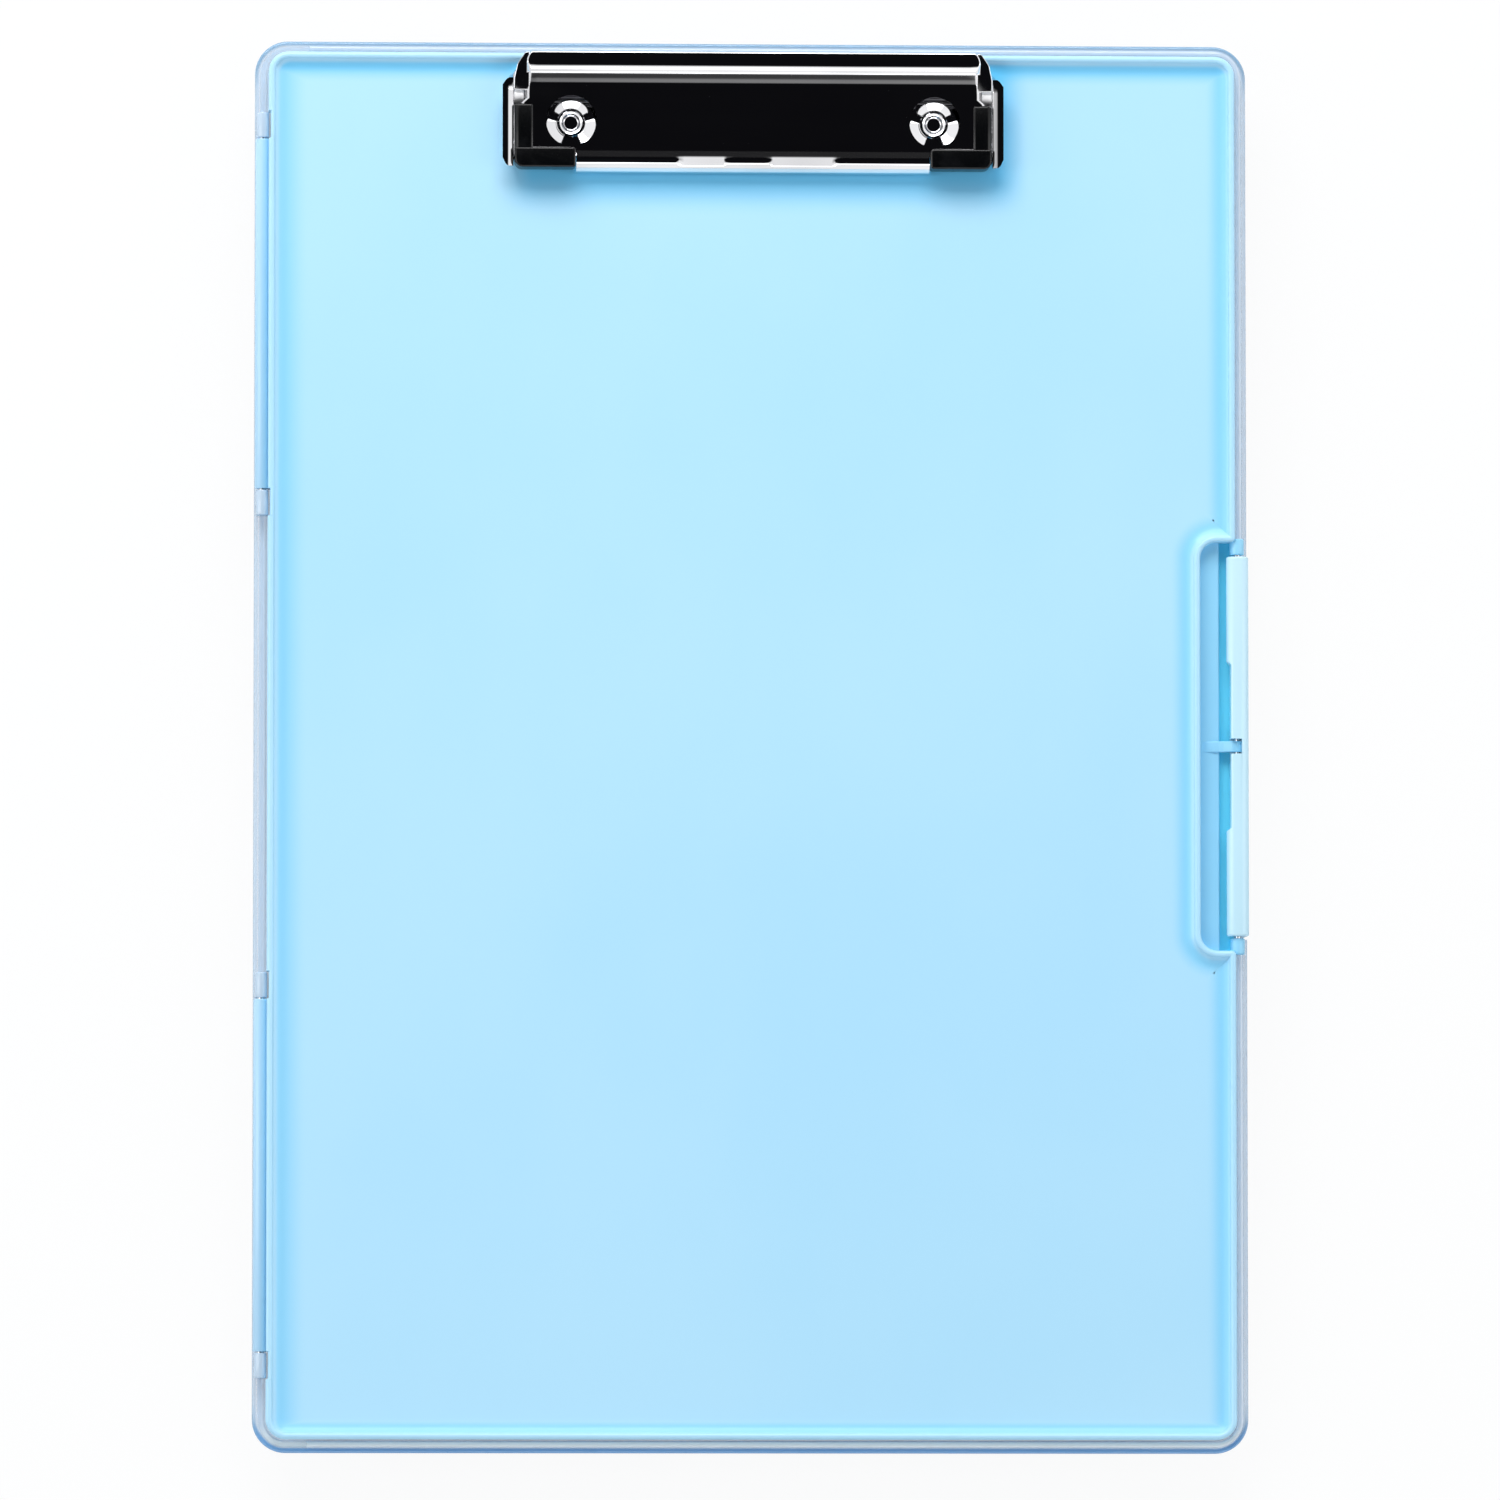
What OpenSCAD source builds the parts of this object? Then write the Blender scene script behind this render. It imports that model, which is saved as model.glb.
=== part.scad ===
// Storage clipboard box: a clear tray under a hinged clipboard lid, with a low-profile paper clip
// on top and a snap latch along the right edge. It lies flat: +X is the latch side, +Y the clip
// end, +Z up, and the origin is the middle of the base on the surface it lies on.

/* [Case] */
// Width over the flange, from hinge side to latch side
case_w = 238; // [225:1:260]
// Length over the flange, with the clip at its +Y end
case_l = 338; // [325:1:360]
// Outer corner radius of the flange
case_corner_r = 8; // [7:0.5:12]

/* [Tray] */
// Height of the tray from the table to the top of its flange
tray_h = 15; // [13:0.5:30]
// Thickness of the tray walls
tray_wall = 1.8; // [1.4:0.1:2.2]
// Thickness of the tray floor
tray_floor = 1.8; // [1.4:0.1:2.6]
// How far the flange stands out from the tray wall
flange_over = 3; // [2.6:0.1:3.4]
// Thickness of the flange
flange_t = 2; // [1.5:0.1:2.5]
// Height of the foot ring under the floor
foot_h = 0.8; // [0.5:0.1:1.5]
// Width of the foot ring
foot_w = 6; // [4:0.5:10]
// How far the foot ring sits in from the tray wall
foot_inset = 4; // [2:0.5:8]
// Height of the bead that stands on the flange around the lid
bead_h = 2.2; // [1.5:0.1:3]
// Width of the bead
bead_w = 1.6; // [1.2:0.1:2]

/* [Compartments] */
// Clear length of the pen compartment, from the divider to the clip-end wall
pen_bay_l = 28; // [20:1:32]
// Thickness of the divider
divider_t = 1.6; // [1.2:0.1:2.4]
// Distance of the divider's top below the top of the flange
divider_drop = 3.4; // [3.4:0.1:8]
// Height of the pen rests above the tray floor
rest_h = 5; // [3:0.5:7]
// Thickness of each pen rest
rest_t = 1.8; // [1.2:0.1:3]
// Radius of the pen notches in the rests
pen_notch_r = 5.5; // [4:0.5:6.5]
// Distance of the outer pen rests from the middle
rest_x = 60; // [45:1:80]

/* [Lid] */
// Height of the lid from its seat on the flange to the top of its rim
lid_h = 6.8; // [6:0.1:9]
// Thickness of the lid panel
panel_t = 2; // [1.6:0.1:2.4]
// Depth of the panel below the top of the rim
panel_drop = 2; // [1.5:0.1:2.5]
// Thickness of the rim wall
rim_t = 1.6; // [1.4:0.1:1.8]
// How far the rim sits in from the edge of the flange
rim_inset = 3.2; // [3:0.1:3.4]
// Gap between the lid's seat and the flange
seat_gap = 0.2; // [0.1:0.05:0.4]
// Depth that the locating skirt reaches into the tray
skirt_depth = 2.3; // [1.5:0.1:3]
// Thickness of the locating skirt
skirt_t = 1.4; // [1.2:0.1:1.8]
// Gap between the locating skirt and the tray wall
skirt_gap = 0.4; // [0.3:0.05:0.6]

/* [Hinge] */
// Length of each of the two hinges, lid barrel only
barrel_l = 84; // [60:1:88]
// Distance from each end of the case to the middle of the hinge beside it
hinge_y = 66; // [64:1:74]
// Radius of the lid's hinge barrels
barrel_r = 1.8; // [1.6:0.05:1.9]
// Radius of the tray's hinge knuckles
knuckle_r = 1.5; // [1.4:0.05:1.6]
// Length of each tray knuckle
knuckle_l = 6; // [4:0.5:8]
// Distance of the hinge axis in from the edge of the flange
hinge_inset = 1.9; // [1.9:0.05:2]
// Height of the hinge axis above the flange
hinge_up = 3.7; // [3.7:0.05:3.9]
// Diameter of the steel hinge pins
pin_d = 1.6; // [1.2:0.1:2]

/* [Latch] */
// Length of the latch
latch_l = 91; // [70:1:110]
// Thickness of the latch plate
latch_t = 1.4; // [1.2:0.1:1.5]
// Radius of the latch's rounded head
head_r = 2.65; // [2.5:0.05:2.65]
// Distance of the latch axis in from the edge of the flange
latch_inset = 2.65; // [2.65:0.05:2.8]
// Height of the latch axis above the flange
latch_up = 4.35; // [4.3:0.05:4.5]
// Diameter of the latch's steel pin
latch_pin_d = 1.2; // [1:0.05:1.4]
// Thickness of each lug that carries the latch pin
lug_t = 2; // [1.5:0.1:3]
// Length of the lid finger in the middle of the latch
finger_l = 2.6; // [2:0.1:4]
// Length of the finger pull cut into the head on each side of the lid finger
grip_relief_l = 19.5; // [15:0.5:30]
// Depth of the finger pull
grip_relief_d = 1; // [0.6:0.1:1.2]
// Width of the bay in the lid beside the latch, from the latch axis to the bay rim
bay_w = 9; // [8:0.1:14]
// Width of the groove between the bay floor and the latch axis
groove_w = 4.25; // [4:0.05:4.6]
// Depth of the bay floor below the top of the rim
bay_drop = 3.5; // [3:0.1:3.8]
// How far the tray's catch rib stands out from its wall
catch_out = 1; // [0.7:0.05:1]
// Depth of the catch rib's underside below the top of the flange
catch_down = 3.6; // [3:0.1:5]

/* [Clip] */
// Width of the clip over the flared ears
clip_w = 119.8; // [100:0.2:150]
// Thickness of the clip's steel sheet
sheet_t = 0.9; // [0.7:0.05:1]
// Thickness of the base plate's sheet
base_t = 1; // [0.8:0.05:1.2]
// Distance of the clip pivot in from the clip-end edge of the flange
pivot_inset = 13.6; // [12.5:0.1:14]
// Height of the pivot above the base plate's top
pivot_up = 2.15; // [2.1:0.05:2.4]
// Diameter of the pivot rod
rod_d = 2; // [1.8:0.1:2.2]
// Height of the jaw's flat top above the panel
jaw_up = 6.2; // [6:0.1:7]
// Distance from the pivot to the jaw's front tip
jaw_front = 18.2; // [16:0.1:20]
// Distance from the pivot to the back of the lever
jaw_back = 9.9; // [9:0.1:10.5]
// Height of the lever above the jaw's flat top
lever_up = 3.4; // [3:0.1:4]
// How far the ends of the lever sit in from the sides of the jaw
lever_in = 1.5; // [1.5:0.1:4]
// Radius of the access holes over the rivets
access_r = 6.3; // [5.5:0.1:6.5]
// Distance of each rivet in from the edge of the clip
rivet_in = 16.4; // [15:0.1:25]
// Distance from the pivot to the rivets
rivet_back = 6.4; // [5.5:0.1:7]
// Diameter of the rivet shank
rivet_d = 4; // [3:0.1:5]
// Width of each rubber corner grip
grip_w = 14.8; // [10:0.1:20]
// Thickness of the rubber on the jaw
grip_t = 0.8; // [0.6:0.05:1]
// Distance of each spring in from its rivet
spring_in = 19.5; // [12:0.5:22]
// Diameter of the spring wire
wire_d = 0.6; // [0.5:0.05:0.7]
// Number of turns in each spring coil
spring_turns = 6; // [3:1:9]

/* [Hidden] */

$fn = 64;
eps = 0.01;

// clearances
run_gap = 0.3;      // between moving pieces
bore_gap = 0.05;    // radial, between a pin and the piece that turns on it
fit_gap = 0.02;     // radial, between a pin or rivet and the piece that holds it
end_gap = 0.5;      // beside a barrel, finger or latch end

// tray
wall_x = case_w / 2 - flange_over;
wall_y = case_l / 2 - flange_over;
wall_r = case_corner_r - flange_over;
in_x = wall_x - tray_wall;
in_y = wall_y - tray_wall;
floor_top = foot_h + tray_floor;
divider_y = in_y - pen_bay_l;
bead_inset = 1.2;   // from the edge of the flange to the bead
join = 0.2;         // how far one part of a moulding runs into the next

// lid
rim_x = case_w / 2 - rim_inset;
rim_y = case_l / 2 - rim_inset;
rim_r = case_corner_r - rim_inset;
seat_z = tray_h + seat_gap;
rim_z = tray_h + lid_h + seat_gap;
panel_z = rim_z - panel_drop;
panel_under = panel_z - panel_t;

// hinge
hinge_x = -case_w / 2 + hinge_inset;
hinge_z = tray_h + hinge_up;
hinge_mid = case_l / 2 - hinge_y;
knuckle_y0 = barrel_l / 2 + run_gap;
hinge_clear = 10;   // width of the strip beside the hinges with no bead and no skirt
pin_short = 0.5;    // how far each pin stops short of the outer end of its knuckle or lug

// latch
latch_x = case_w / 2 - latch_inset;
latch_z = tray_h + latch_up;
plate_out = head_r - 0.3;
hook_top = tray_h - catch_down - run_gap;
hook_h = 1.5;
hook_in = wall_x + run_gap;
bay_x = latch_x - bay_w;
bay_half = latch_l / 2 + end_gap + lug_t + 1;
bay_floor_z = rim_z - bay_drop;
ledge_z = latch_z - head_r - run_gap;
ledge_x = latch_x - groove_w;
lug_r = head_r - 1;
finger_r = latch_pin_d / 2 + 0.7;
finger_notch_r = finger_r + run_gap;
bay_rim_r = 4;

// clip
pivot_y = case_l / 2 - pivot_inset;
base_z = panel_z + base_t;
pivot_z = base_z + pivot_up;
jaw_z = panel_z + jaw_up;
ear_out = clip_w / 2 - 1.5;
ear_in = ear_out - base_t;
grip_out = ear_in - run_gap;
jaw_half = grip_out - 1.5;
rivet_x = clip_w / 2 - rivet_in;
spring_x = rivet_x - spring_in;
lip_run = 3.4;
corner_cut_y = pivot_y - jaw_front + lip_run + 0.2;
rivet_y = pivot_y - rivet_back;
tip_y = pivot_y - jaw_front;
back_y = pivot_y + jaw_back;
washer_t = 0.5;
backing_t = 0.6;
leg_l = 4.2;
coil_r = rod_d / 2 + wire_d / 2 + 0.15;
rod_head_r = rod_d / 2 + 0.3;

// ---- helpers ----

function unit(v) = v / norm(v);
function across(a, b) = let (d = unit(b - a)) [-d[1], d[0]];

// a path moved sideways by d, to its left
function beside(path, d) = [
    for (i = [0:len(path) - 1])
        let (
            a = path[max(i - 1, 0)],
            b = path[i],
            c = path[min(i + 1, len(path) - 1)],
            n1 = i == 0 ? across(b, c) : across(a, b),
            n2 = i == len(path) - 1 ? across(a, b) : across(b, c),
            m = unit(n1 + n2)
        )
        b + m * d / (m * n1)
];

// the points of a bend of radius r at b, on the way from a to c
function bend(a, b, c, r, steps = 5) =
    let (
        u = unit(b - a),
        v = unit(c - b),
        turn = acos(min(1, max(-1, u * v))),
        side = sign(u[0] * v[1] - u[1] * v[0]),
        t = r * tan(turn / 2),
        start = b - u * t,
        centre = start + side * r * [-u[1], u[0]],
        from = atan2(start[1] - centre[1], start[0] - centre[0])
    )
    [for (k = [0:steps]) let (g = from + side * turn * k / steps) centre + r * [cos(g), sin(g)]];

// a path through the corners p, bent to the radii r
function bent(p, r) = [
    p[0],
    for (i = [1:len(p) - 2]) each bend(p[i - 1], p[i], p[i + 1], r[i - 1]),
    p[len(p) - 1]
];

// the section of a sheet whose outer face follows the path
module sheet(path, t) {
    inner = beside(path, -t);
    polygon(concat(path, [for (i = [len(inner) - 1:-1:0]) inner[i]]));
}

// an extrusion of a YZ section along X, from x0 to x1
module along_x(x0, x1) {
    translate([x0, 0, 0]) rotate([90, 0, 90]) linear_extrude(x1 - x0) children();
}

// an extrusion of an XZ section along Y, from y0 to y1
module along_y(y0, y1) {
    translate([0, y1, 0]) rotate([90, 0, 0]) linear_extrude(y1 - y0) children();
}

module rod_x(x0, x1, r) {
    translate([x0, 0, 0]) rotate([0, 90, 0]) cylinder(h = x1 - x0, r = r);
}

module rod_y(y0, y1, r) {
    translate([0, y1, 0]) rotate([90, 0, 0]) cylinder(h = y1 - y0, r = r);
}

// a plate with half sizes hx and hy and corner radius r, from z0 to z1
module plate(hx, hy, r, z0, z1) {
    translate([0, 0, z0]) linear_extrude(z1 - z0) {
        square([2 * hx, 2 * (hy - r)], center = true);
        square([2 * (hx - r), 2 * hy], center = true);
        for (sx = [-1, 1], sy = [-1, 1]) translate([sx * (hx - r), sy * (hy - r)]) circle(r);
    }
}

module box(x0, x1, y0, y1, z0, z1) {
    translate([x0, y0, z0]) cube([x1 - x0, y1 - y0, z1 - z0]);
}

module mirrored_x() {
    children();
    mirror([1, 0, 0]) children();
}

module mirrored_y() {
    children();
    mirror([0, 1, 0]) children();
}

// ---- tray ----

module tray_shell() {
    difference() {
        union() {
            plate(wall_x, wall_y, wall_r, foot_h, tray_h);
            plate(case_w / 2, case_l / 2, case_corner_r, tray_h - flange_t, tray_h);
            foot_ring();
        }
        plate(in_x, in_y, wall_r - tray_wall, floor_top, tray_h + 1);
        latch_notch();
    }
}

module foot_ring() {
    difference() {
        plate(wall_x - foot_inset, wall_y - foot_inset, wall_r, 0, foot_h + join);
        plate(wall_x - foot_inset - foot_w, wall_y - foot_inset - foot_w, 2, -1, foot_h);
    }
}

// the flange is cut back to the wall where the latch hangs
module latch_notch() {
    half = latch_l / 2 + end_gap;
    box(wall_x, case_w / 2 + 1, -half, half, tray_h - flange_t - 1, tray_h + bead_h + 1);
}

// the bead stands around the lid on every side but the hinge side
module bead() {
    out_x = case_w / 2 - bead_inset;
    out_y = case_l / 2 - bead_inset;
    r = case_corner_r - bead_inset;
    difference() {
        plate(out_x, out_y, r, tray_h - join, tray_h + bead_h);
        plate(out_x - bead_w, out_y - bead_w, r - bead_w, tray_h - 1, tray_h + bead_h + 1);
        box(-case_w, -wall_x + hinge_clear, -case_l, case_l, tray_h - 1, tray_h + bead_h + 1);
        latch_notch();
        latch_lug_room();
    }
}

// room in the bead for the lid lugs that carry the latch pin
module latch_lug_room() {
    half = bay_half + end_gap;
    box(wall_x - 1, case_w / 2 + 1, -half, half, tray_h, tray_h + bead_h + 1);
}

module tray_knuckle(y0, y1) {
    translate([hinge_x, 0, hinge_z]) rod_y(y0, y1, knuckle_r);
    box(hinge_x - knuckle_r, hinge_x + knuckle_r, y0, y1, tray_h - join, hinge_z);
}

module tray_knuckles() {
    difference() {
        for (s = [-1, 1], e = [-1, 1])
            let (a = s * hinge_mid + e * knuckle_y0, b = s * hinge_mid + e * (knuckle_y0 + knuckle_l))
                tray_knuckle(min(a, b), max(a, b));
        translate([hinge_x, 0, hinge_z]) rod_y(-case_l, case_l, pin_d / 2 + fit_gap);
    }
}

module catch_rib() {
    half = latch_l / 2 - 4;
    under = tray_h - catch_down;
    box(wall_x - join, wall_x + catch_out, -half, half, under, under + 1.4);
}

module divider() {
    half = in_x + join;
    box(-half, half, divider_y - divider_t, divider_y, floor_top - join, tray_h - divider_drop);
}

// a rest across the pen compartment, with two notches for pens
module pen_rest(x) {
    half = rest_t / 2;
    difference() {
        box(x - half, x + half, divider_y - join, in_y + join, floor_top - join, floor_top + rest_h);
        for (k = [1, 3])
            translate([0, divider_y + pen_bay_l * k / 4, floor_top + rest_h + 1])
                rod_x(x - rest_t, x + rest_t, pen_notch_r);
    }
}

module tray() {
    color("#dfe9f2") {
        tray_shell();
        bead();
        tray_knuckles();
        catch_rib();
        divider();
        for (x = [-rest_x, 0, rest_x]) pen_rest(x);
    }
}

// ---- lid ----

module lid_shell() {
    difference() {
        plate(rim_x, rim_y, rim_r, seat_z, rim_z);
        plate(rim_x - rim_t, rim_y - rim_t, rim_r - rim_t, panel_z, rim_z + 1);
        plate(rim_x - rim_t, rim_y - rim_t, rim_r - rim_t, seat_z - 1, panel_under);
    }
}

// the skirt that drops into the tray on every side but the hinge side
module locating_skirt() {
    hx = in_x - skirt_gap;
    hy = in_y - skirt_gap;
    r = wall_r - tray_wall - skirt_gap;
    difference() {
        union() {
            plate(hx, hy, r, tray_h - skirt_depth, seat_z + join);
            plate(rim_x - rim_t + join, rim_y - rim_t + join, rim_r - rim_t, seat_z, panel_under + join);
        }
        plate(hx - skirt_t, hy - skirt_t, r - 0.8, tray_h - skirt_depth - 1, panel_under);
        box(-case_w, -wall_x + hinge_clear, -case_l, case_l, 0, panel_under + 1);
    }
}

// plan of the bay, open to the right, grown outward by the rim thickness
module bay_plan(grow) {
    r = bay_rim_r + grow;
    half = bay_half + grow;
    translate([bay_x - grow, -half + r]) square([case_w, 2 * (half - r)]);
    translate([bay_x - grow + r, -half]) square([case_w, 2 * half]);
    for (s = [-1, 1]) translate([bay_x - grow + r, s * (half - r)]) circle(r);
}

module bay_block(grow, z0, z1) {
    translate([0, 0, z0]) linear_extrude(z1 - z0) intersection() {
        bay_plan(grow);
        square([2 * rim_x, 2 * rim_y], center = true);
    }
}

// rim around the bay, its floor, the ledge under the latch head and the wall between them
module bay() {
    difference() {
        bay_block(rim_t, seat_z, rim_z);
        bay_cut();
        // hollow under the bay floor
        box(bay_x, ledge_x - rim_t, -bay_half, bay_half, seat_z - 1, bay_floor_z - rim_t);
    }
}

module bay_cut() {
    translate([0, 0, bay_floor_z]) linear_extrude(rim_z) bay_plan(0);
    box(ledge_x, case_w, -bay_half, bay_half, ledge_z, rim_z + 1);
}

// one lug of the latch pin at each end, and the finger in the middle
module latch_lugs() {
    lug_y = latch_l / 2 + end_gap;
    mirrored_y() {
        translate([latch_x, 0, latch_z]) rod_y(lug_y, bay_half + join, lug_r);
        box(latch_x - lug_r, rim_x, lug_y, bay_half + join, ledge_z - join, latch_z);
    }
    half = finger_l / 2;
    root_x = ledge_x - join;
    translate([latch_x, 0, latch_z]) rod_y(-half, half, finger_r);
    box(root_x, latch_x, -half, half, latch_z - finger_r, latch_z + 0.3);
    box(root_x, latch_x - head_r - run_gap, -half, half, ledge_z - join, latch_z);
}

module lid_barrels() {
    translate([hinge_x, 0, hinge_z])
        for (s = [-1, 1]) rod_y(s * hinge_mid - barrel_l / 2, s * hinge_mid + barrel_l / 2, barrel_r);
}

// notches in the rim wall that clear the tray's knuckles
module knuckle_notches() {
    for (s = [-1, 1], e = [-1, 1]) {
        mid = s * hinge_mid + e * (knuckle_y0 + knuckle_l / 2);
        half = knuckle_l / 2 + run_gap;
        translate([hinge_x, 0, hinge_z]) rod_y(mid - half, mid + half, knuckle_r + run_gap);
        box(-case_w, hinge_x + knuckle_r + run_gap, mid - half, mid + half, tray_h, rim_z + 1);
    }
}

module rivet_holes(r, z0, z1) {
    for (s = [-1, 1]) translate([s * rivet_x, rivet_y, z0]) cylinder(h = z1 - z0, r = r);
}

module lid() {
    color("#b5e9ff") difference() {
        union() {
            difference() {
                union() {
                    lid_shell();
                    locating_skirt();
                }
                bay_cut();
            }
            bay();
            latch_lugs();
            lid_barrels();
        }
        translate([hinge_x, 0, hinge_z]) rod_y(-case_l, case_l, pin_d / 2 + bore_gap);
        translate([latch_x, 0, latch_z]) rod_y(-case_l, case_l, latch_pin_d / 2 + fit_gap);
        knuckle_notches();
        rivet_holes(rivet_d / 2, panel_under - 1, panel_z + 1);
    }
}

// ---- hinge pins ----

module hinge_pin(y) {
    half = knuckle_y0 + knuckle_l - pin_short;
    color("#c9ced3") translate([hinge_x, 0, hinge_z]) rod_y(y - half, y + half, pin_d / 2);
}

module hinge_pin_upper() { hinge_pin(hinge_mid); }
module hinge_pin_lower() { hinge_pin(-hinge_mid); }

// ---- latch ----

module latch_section() {
    circle(head_r);
    translate([plate_out - latch_t, hook_top - latch_z]) square([latch_t, latch_z - hook_top]);
    translate([hook_in - latch_x, hook_top - latch_z - hook_h])
        square([latch_x + plate_out - hook_in, hook_h]);
}

module latch() {
    notch = finger_l / 2 + end_gap;
    past = head_r + 1;
    color("#b9eafe") translate([latch_x, 0, latch_z]) difference() {
        along_y(-latch_l / 2, latch_l / 2) latch_section();
        // finger pull along the inner edge
        box(-past, -head_r + grip_relief_d, -grip_relief_l, grip_relief_l, -past, past);
        // notch for the lid's finger
        box(-past, 0.9, -notch, notch, 0, past);
        box(-past, 0, -notch, notch, -finger_notch_r, 1);
        rod_y(-notch, notch, finger_notch_r);
        rod_y(-latch_l, latch_l, latch_pin_d / 2 + bore_gap);
    }
}

module latch_pin() {
    half = latch_l / 2 + end_gap + lug_t - pin_short;
    color("#c9ced3") translate([latch_x, 0, latch_z]) rod_y(-half, half, latch_pin_d / 2);
}

// ---- clip ----

// the outer face of the jaw, from the front tip over the flat to the back of the lever
function jaw_path() = bent(
    [
        [tip_y, panel_z + 0.4],
        [tip_y + 0.6, jaw_z - 2.9],
        [tip_y + lip_run, jaw_z],
        [back_y - 5.27, jaw_z],
        [back_y - 4.63, jaw_z + lever_up],
        [back_y, jaw_z + lever_up],
        [back_y, jaw_z + lever_up - 2.2]
    ],
    [1.4, 1.4, lever_up * 0.58, lever_up * 0.58, 0.95]
);

// the flange at each end of the jaw that the pivot rod passes through
module jaw_flange_section() {
    r = rod_d / 2 + 0.85;
    top = jaw_z - sheet_t / 2;
    translate([pivot_y, pivot_z]) circle(r);
    polygon([
        [pivot_y - 8, top],
        [pivot_y - 8, top - 1.6],
        [pivot_y - r * 0.7, pivot_z - r * 0.7],
        [pivot_y + r * 0.8, pivot_z - r * 0.5],
        [pivot_y + 3.5, top - 1.2],
        [pivot_y + 3.5, top]
    ]);
}

module jaw_sheet(half) {
    along_x(-half, half) sheet(jaw_path(), sheet_t);
}

module clip_jaw() {
    shoulder_y = pivot_y + 2.5;
    lip_half = grip_out - grip_w;
    color("#b9bdc2") difference() {
        union() {
            intersection() {
                jaw_sheet(jaw_half);
                union() {
                    box(-jaw_half + lever_in, jaw_half - lever_in, shoulder_y - 1, case_l, 0, 60);
                    box(-jaw_half, jaw_half, corner_cut_y, shoulder_y, 0, 60);
                    box(-lip_half, lip_half, 0, shoulder_y, 0, 60);
                    jaw_shoulders(shoulder_y);
                }
            }
            for (s = [-1, 1])
                along_x(s * jaw_half - (s > 0 ? sheet_t : 0), s * jaw_half + (s > 0 ? 0 : sheet_t))
                    jaw_flange_section();
        }
        translate([0, pivot_y, pivot_z]) rod_x(-clip_w, clip_w, rod_d / 2 + bore_gap);
        rivet_holes(access_r, jaw_z - 2, jaw_z + 1);
    }
}

// the curved shoulders between the lever and the jaw's full width
module jaw_shoulders(y0) {
    r = 9;
    mirrored_x() translate([jaw_half - r, y0 - eps, 0]) linear_extrude(60) intersection() {
        circle(r);
        square(r);
    }
}

// an upright with its top edge flared outward over the rod's head
module ear_section() {
    flare_z = pivot_z + rod_head_r + 0.1;
    translate([ear_in, base_z - join]) square([base_t, flare_z + join - base_z]);
    translate([ear_in, flare_z]) square([clip_w / 2 - ear_in, base_t - 0.1]);
}

module clip_base_plate() {
    front = corner_cut_y + run_gap;
    back = rim_y - rim_t - 1.2;
    ear_front = tip_y + 0.8;
    ear_back = pivot_y + 4.2;
    color("#8b9097") difference() {
        union() {
            box(-ear_out, ear_out, front, back, panel_z, base_z);
            mirrored_x() {
                along_y(ear_front, ear_back) ear_section();
                box(ear_in, ear_out, ear_front, front + 1, panel_z, base_z);
            }
            base_stops(front);
        }
        translate([0, pivot_y, pivot_z]) rod_x(-clip_w, clip_w, rod_d / 2 + fit_gap);
        rivet_holes(rivet_d / 2, panel_z - 1, base_z + 1);
        ear_corners(back);
    }
}

// the plate is cut narrower behind the ears
module ear_corners(back) {
    for (s = [-1, 1]) translate([s * ear_out, back, panel_z - 1])
        rotate([0, 0, 45]) cube([4, 4, 4], center = true);
}

// two low paper stops pressed up from the plate, behind the jaw's tip
module base_stops(front) {
    for (s = [-1, 1]) box(s * 12 - 4, s * 12 + 4, front + 2, front + 3, base_z - join, base_z + 1.6);
}

module clip_pivot_rod() {
    head = 0.6;
    color("#c9ced3") translate([0, pivot_y, pivot_z]) {
        rod_x(-ear_out, ear_out, rod_d / 2);
        mirrored_x() rod_x(ear_out, ear_out + head, rod_head_r);
    }
}

// ---- springs ----

SIDES = 8;
RINGS = 16;

// the wire's centre line: a leg on the base plate, the coil, and a leg under the jaw
function spring_line(turns, pitch) = let (
    low = -pivot_up + wire_d / 2 + 0.05,
    high = jaw_z - sheet_t - pivot_z - wire_d / 2 - 0.05,
    n = turns * RINGS
) concat(
    [[-turns / 2 * pitch, leg_l, low]],
    [for (i = [0:n + RINGS / 2]) let (g = -90 - 360 * i / RINGS)
        [-turns / 2 * pitch + pitch * i / RINGS, coil_r * cos(g), coil_r * sin(g)]],
    [[turns / 2 * pitch + pitch / 2, leg_l, high]]
);

module wire(line, r) {
    n = len(line);
    ring = function (i) let (
        t = unit(line[min(i + 1, n - 1)] - line[max(i - 1, 0)]),
        u = unit(cross(t, [1, 0, 0.001])),
        v = cross(t, u)
    ) [for (k = [0:SIDES - 1]) line[i] + r * (u * cos(360 * k / SIDES) + v * sin(360 * k / SIDES))];
    points = [for (i = [0:n - 1]) each ring(i)];
    walls = [for (i = [0:n - 2], k = [0:SIDES - 1])
        let (a = i * SIDES + k, b = i * SIDES + (k + 1) % SIDES)
        each [[a, b, b + SIDES], [a, b + SIDES, a + SIDES]]];
    ends = [[for (k = [SIDES - 1:-1:0]) k], [for (k = [0:SIDES - 1]) (n - 1) * SIDES + k]];
    polyhedron(points, concat(walls, ends));
}

module clip_spring(x) {
    color("#aeb4ba") translate([x, pivot_y, pivot_z])
        wire(spring_line(spring_turns, wire_d + 0.12), wire_d / 2);
}

module clip_spring_left() { clip_spring(-spring_x); }
module clip_spring_right() { clip_spring(spring_x); }

// ---- rivets and washers ----

module rivet(x) {
    r = rivet_d / 2;
    head_z = base_z + washer_t;
    tail_z = panel_under - backing_t;
    color("#d5d9dd") translate([x, rivet_y, 0]) difference() {
        union() {
            translate([0, 0, tail_z - join]) cylinder(h = head_z - tail_z + 2 * join, r = r - fit_gap);
            translate([0, 0, head_z]) cylinder(h = 0.9, r = r + 0.7);
            translate([0, 0, tail_z - 0.7]) cylinder(h = 0.7, r = r + 0.9);
        }
        translate([0, 0, tail_z + 0.6]) cylinder(h = 20, r = r - 0.6);
    }
}

module rivet_left() { rivet(-rivet_x); }
module rivet_right() { rivet(rivet_x); }

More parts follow.
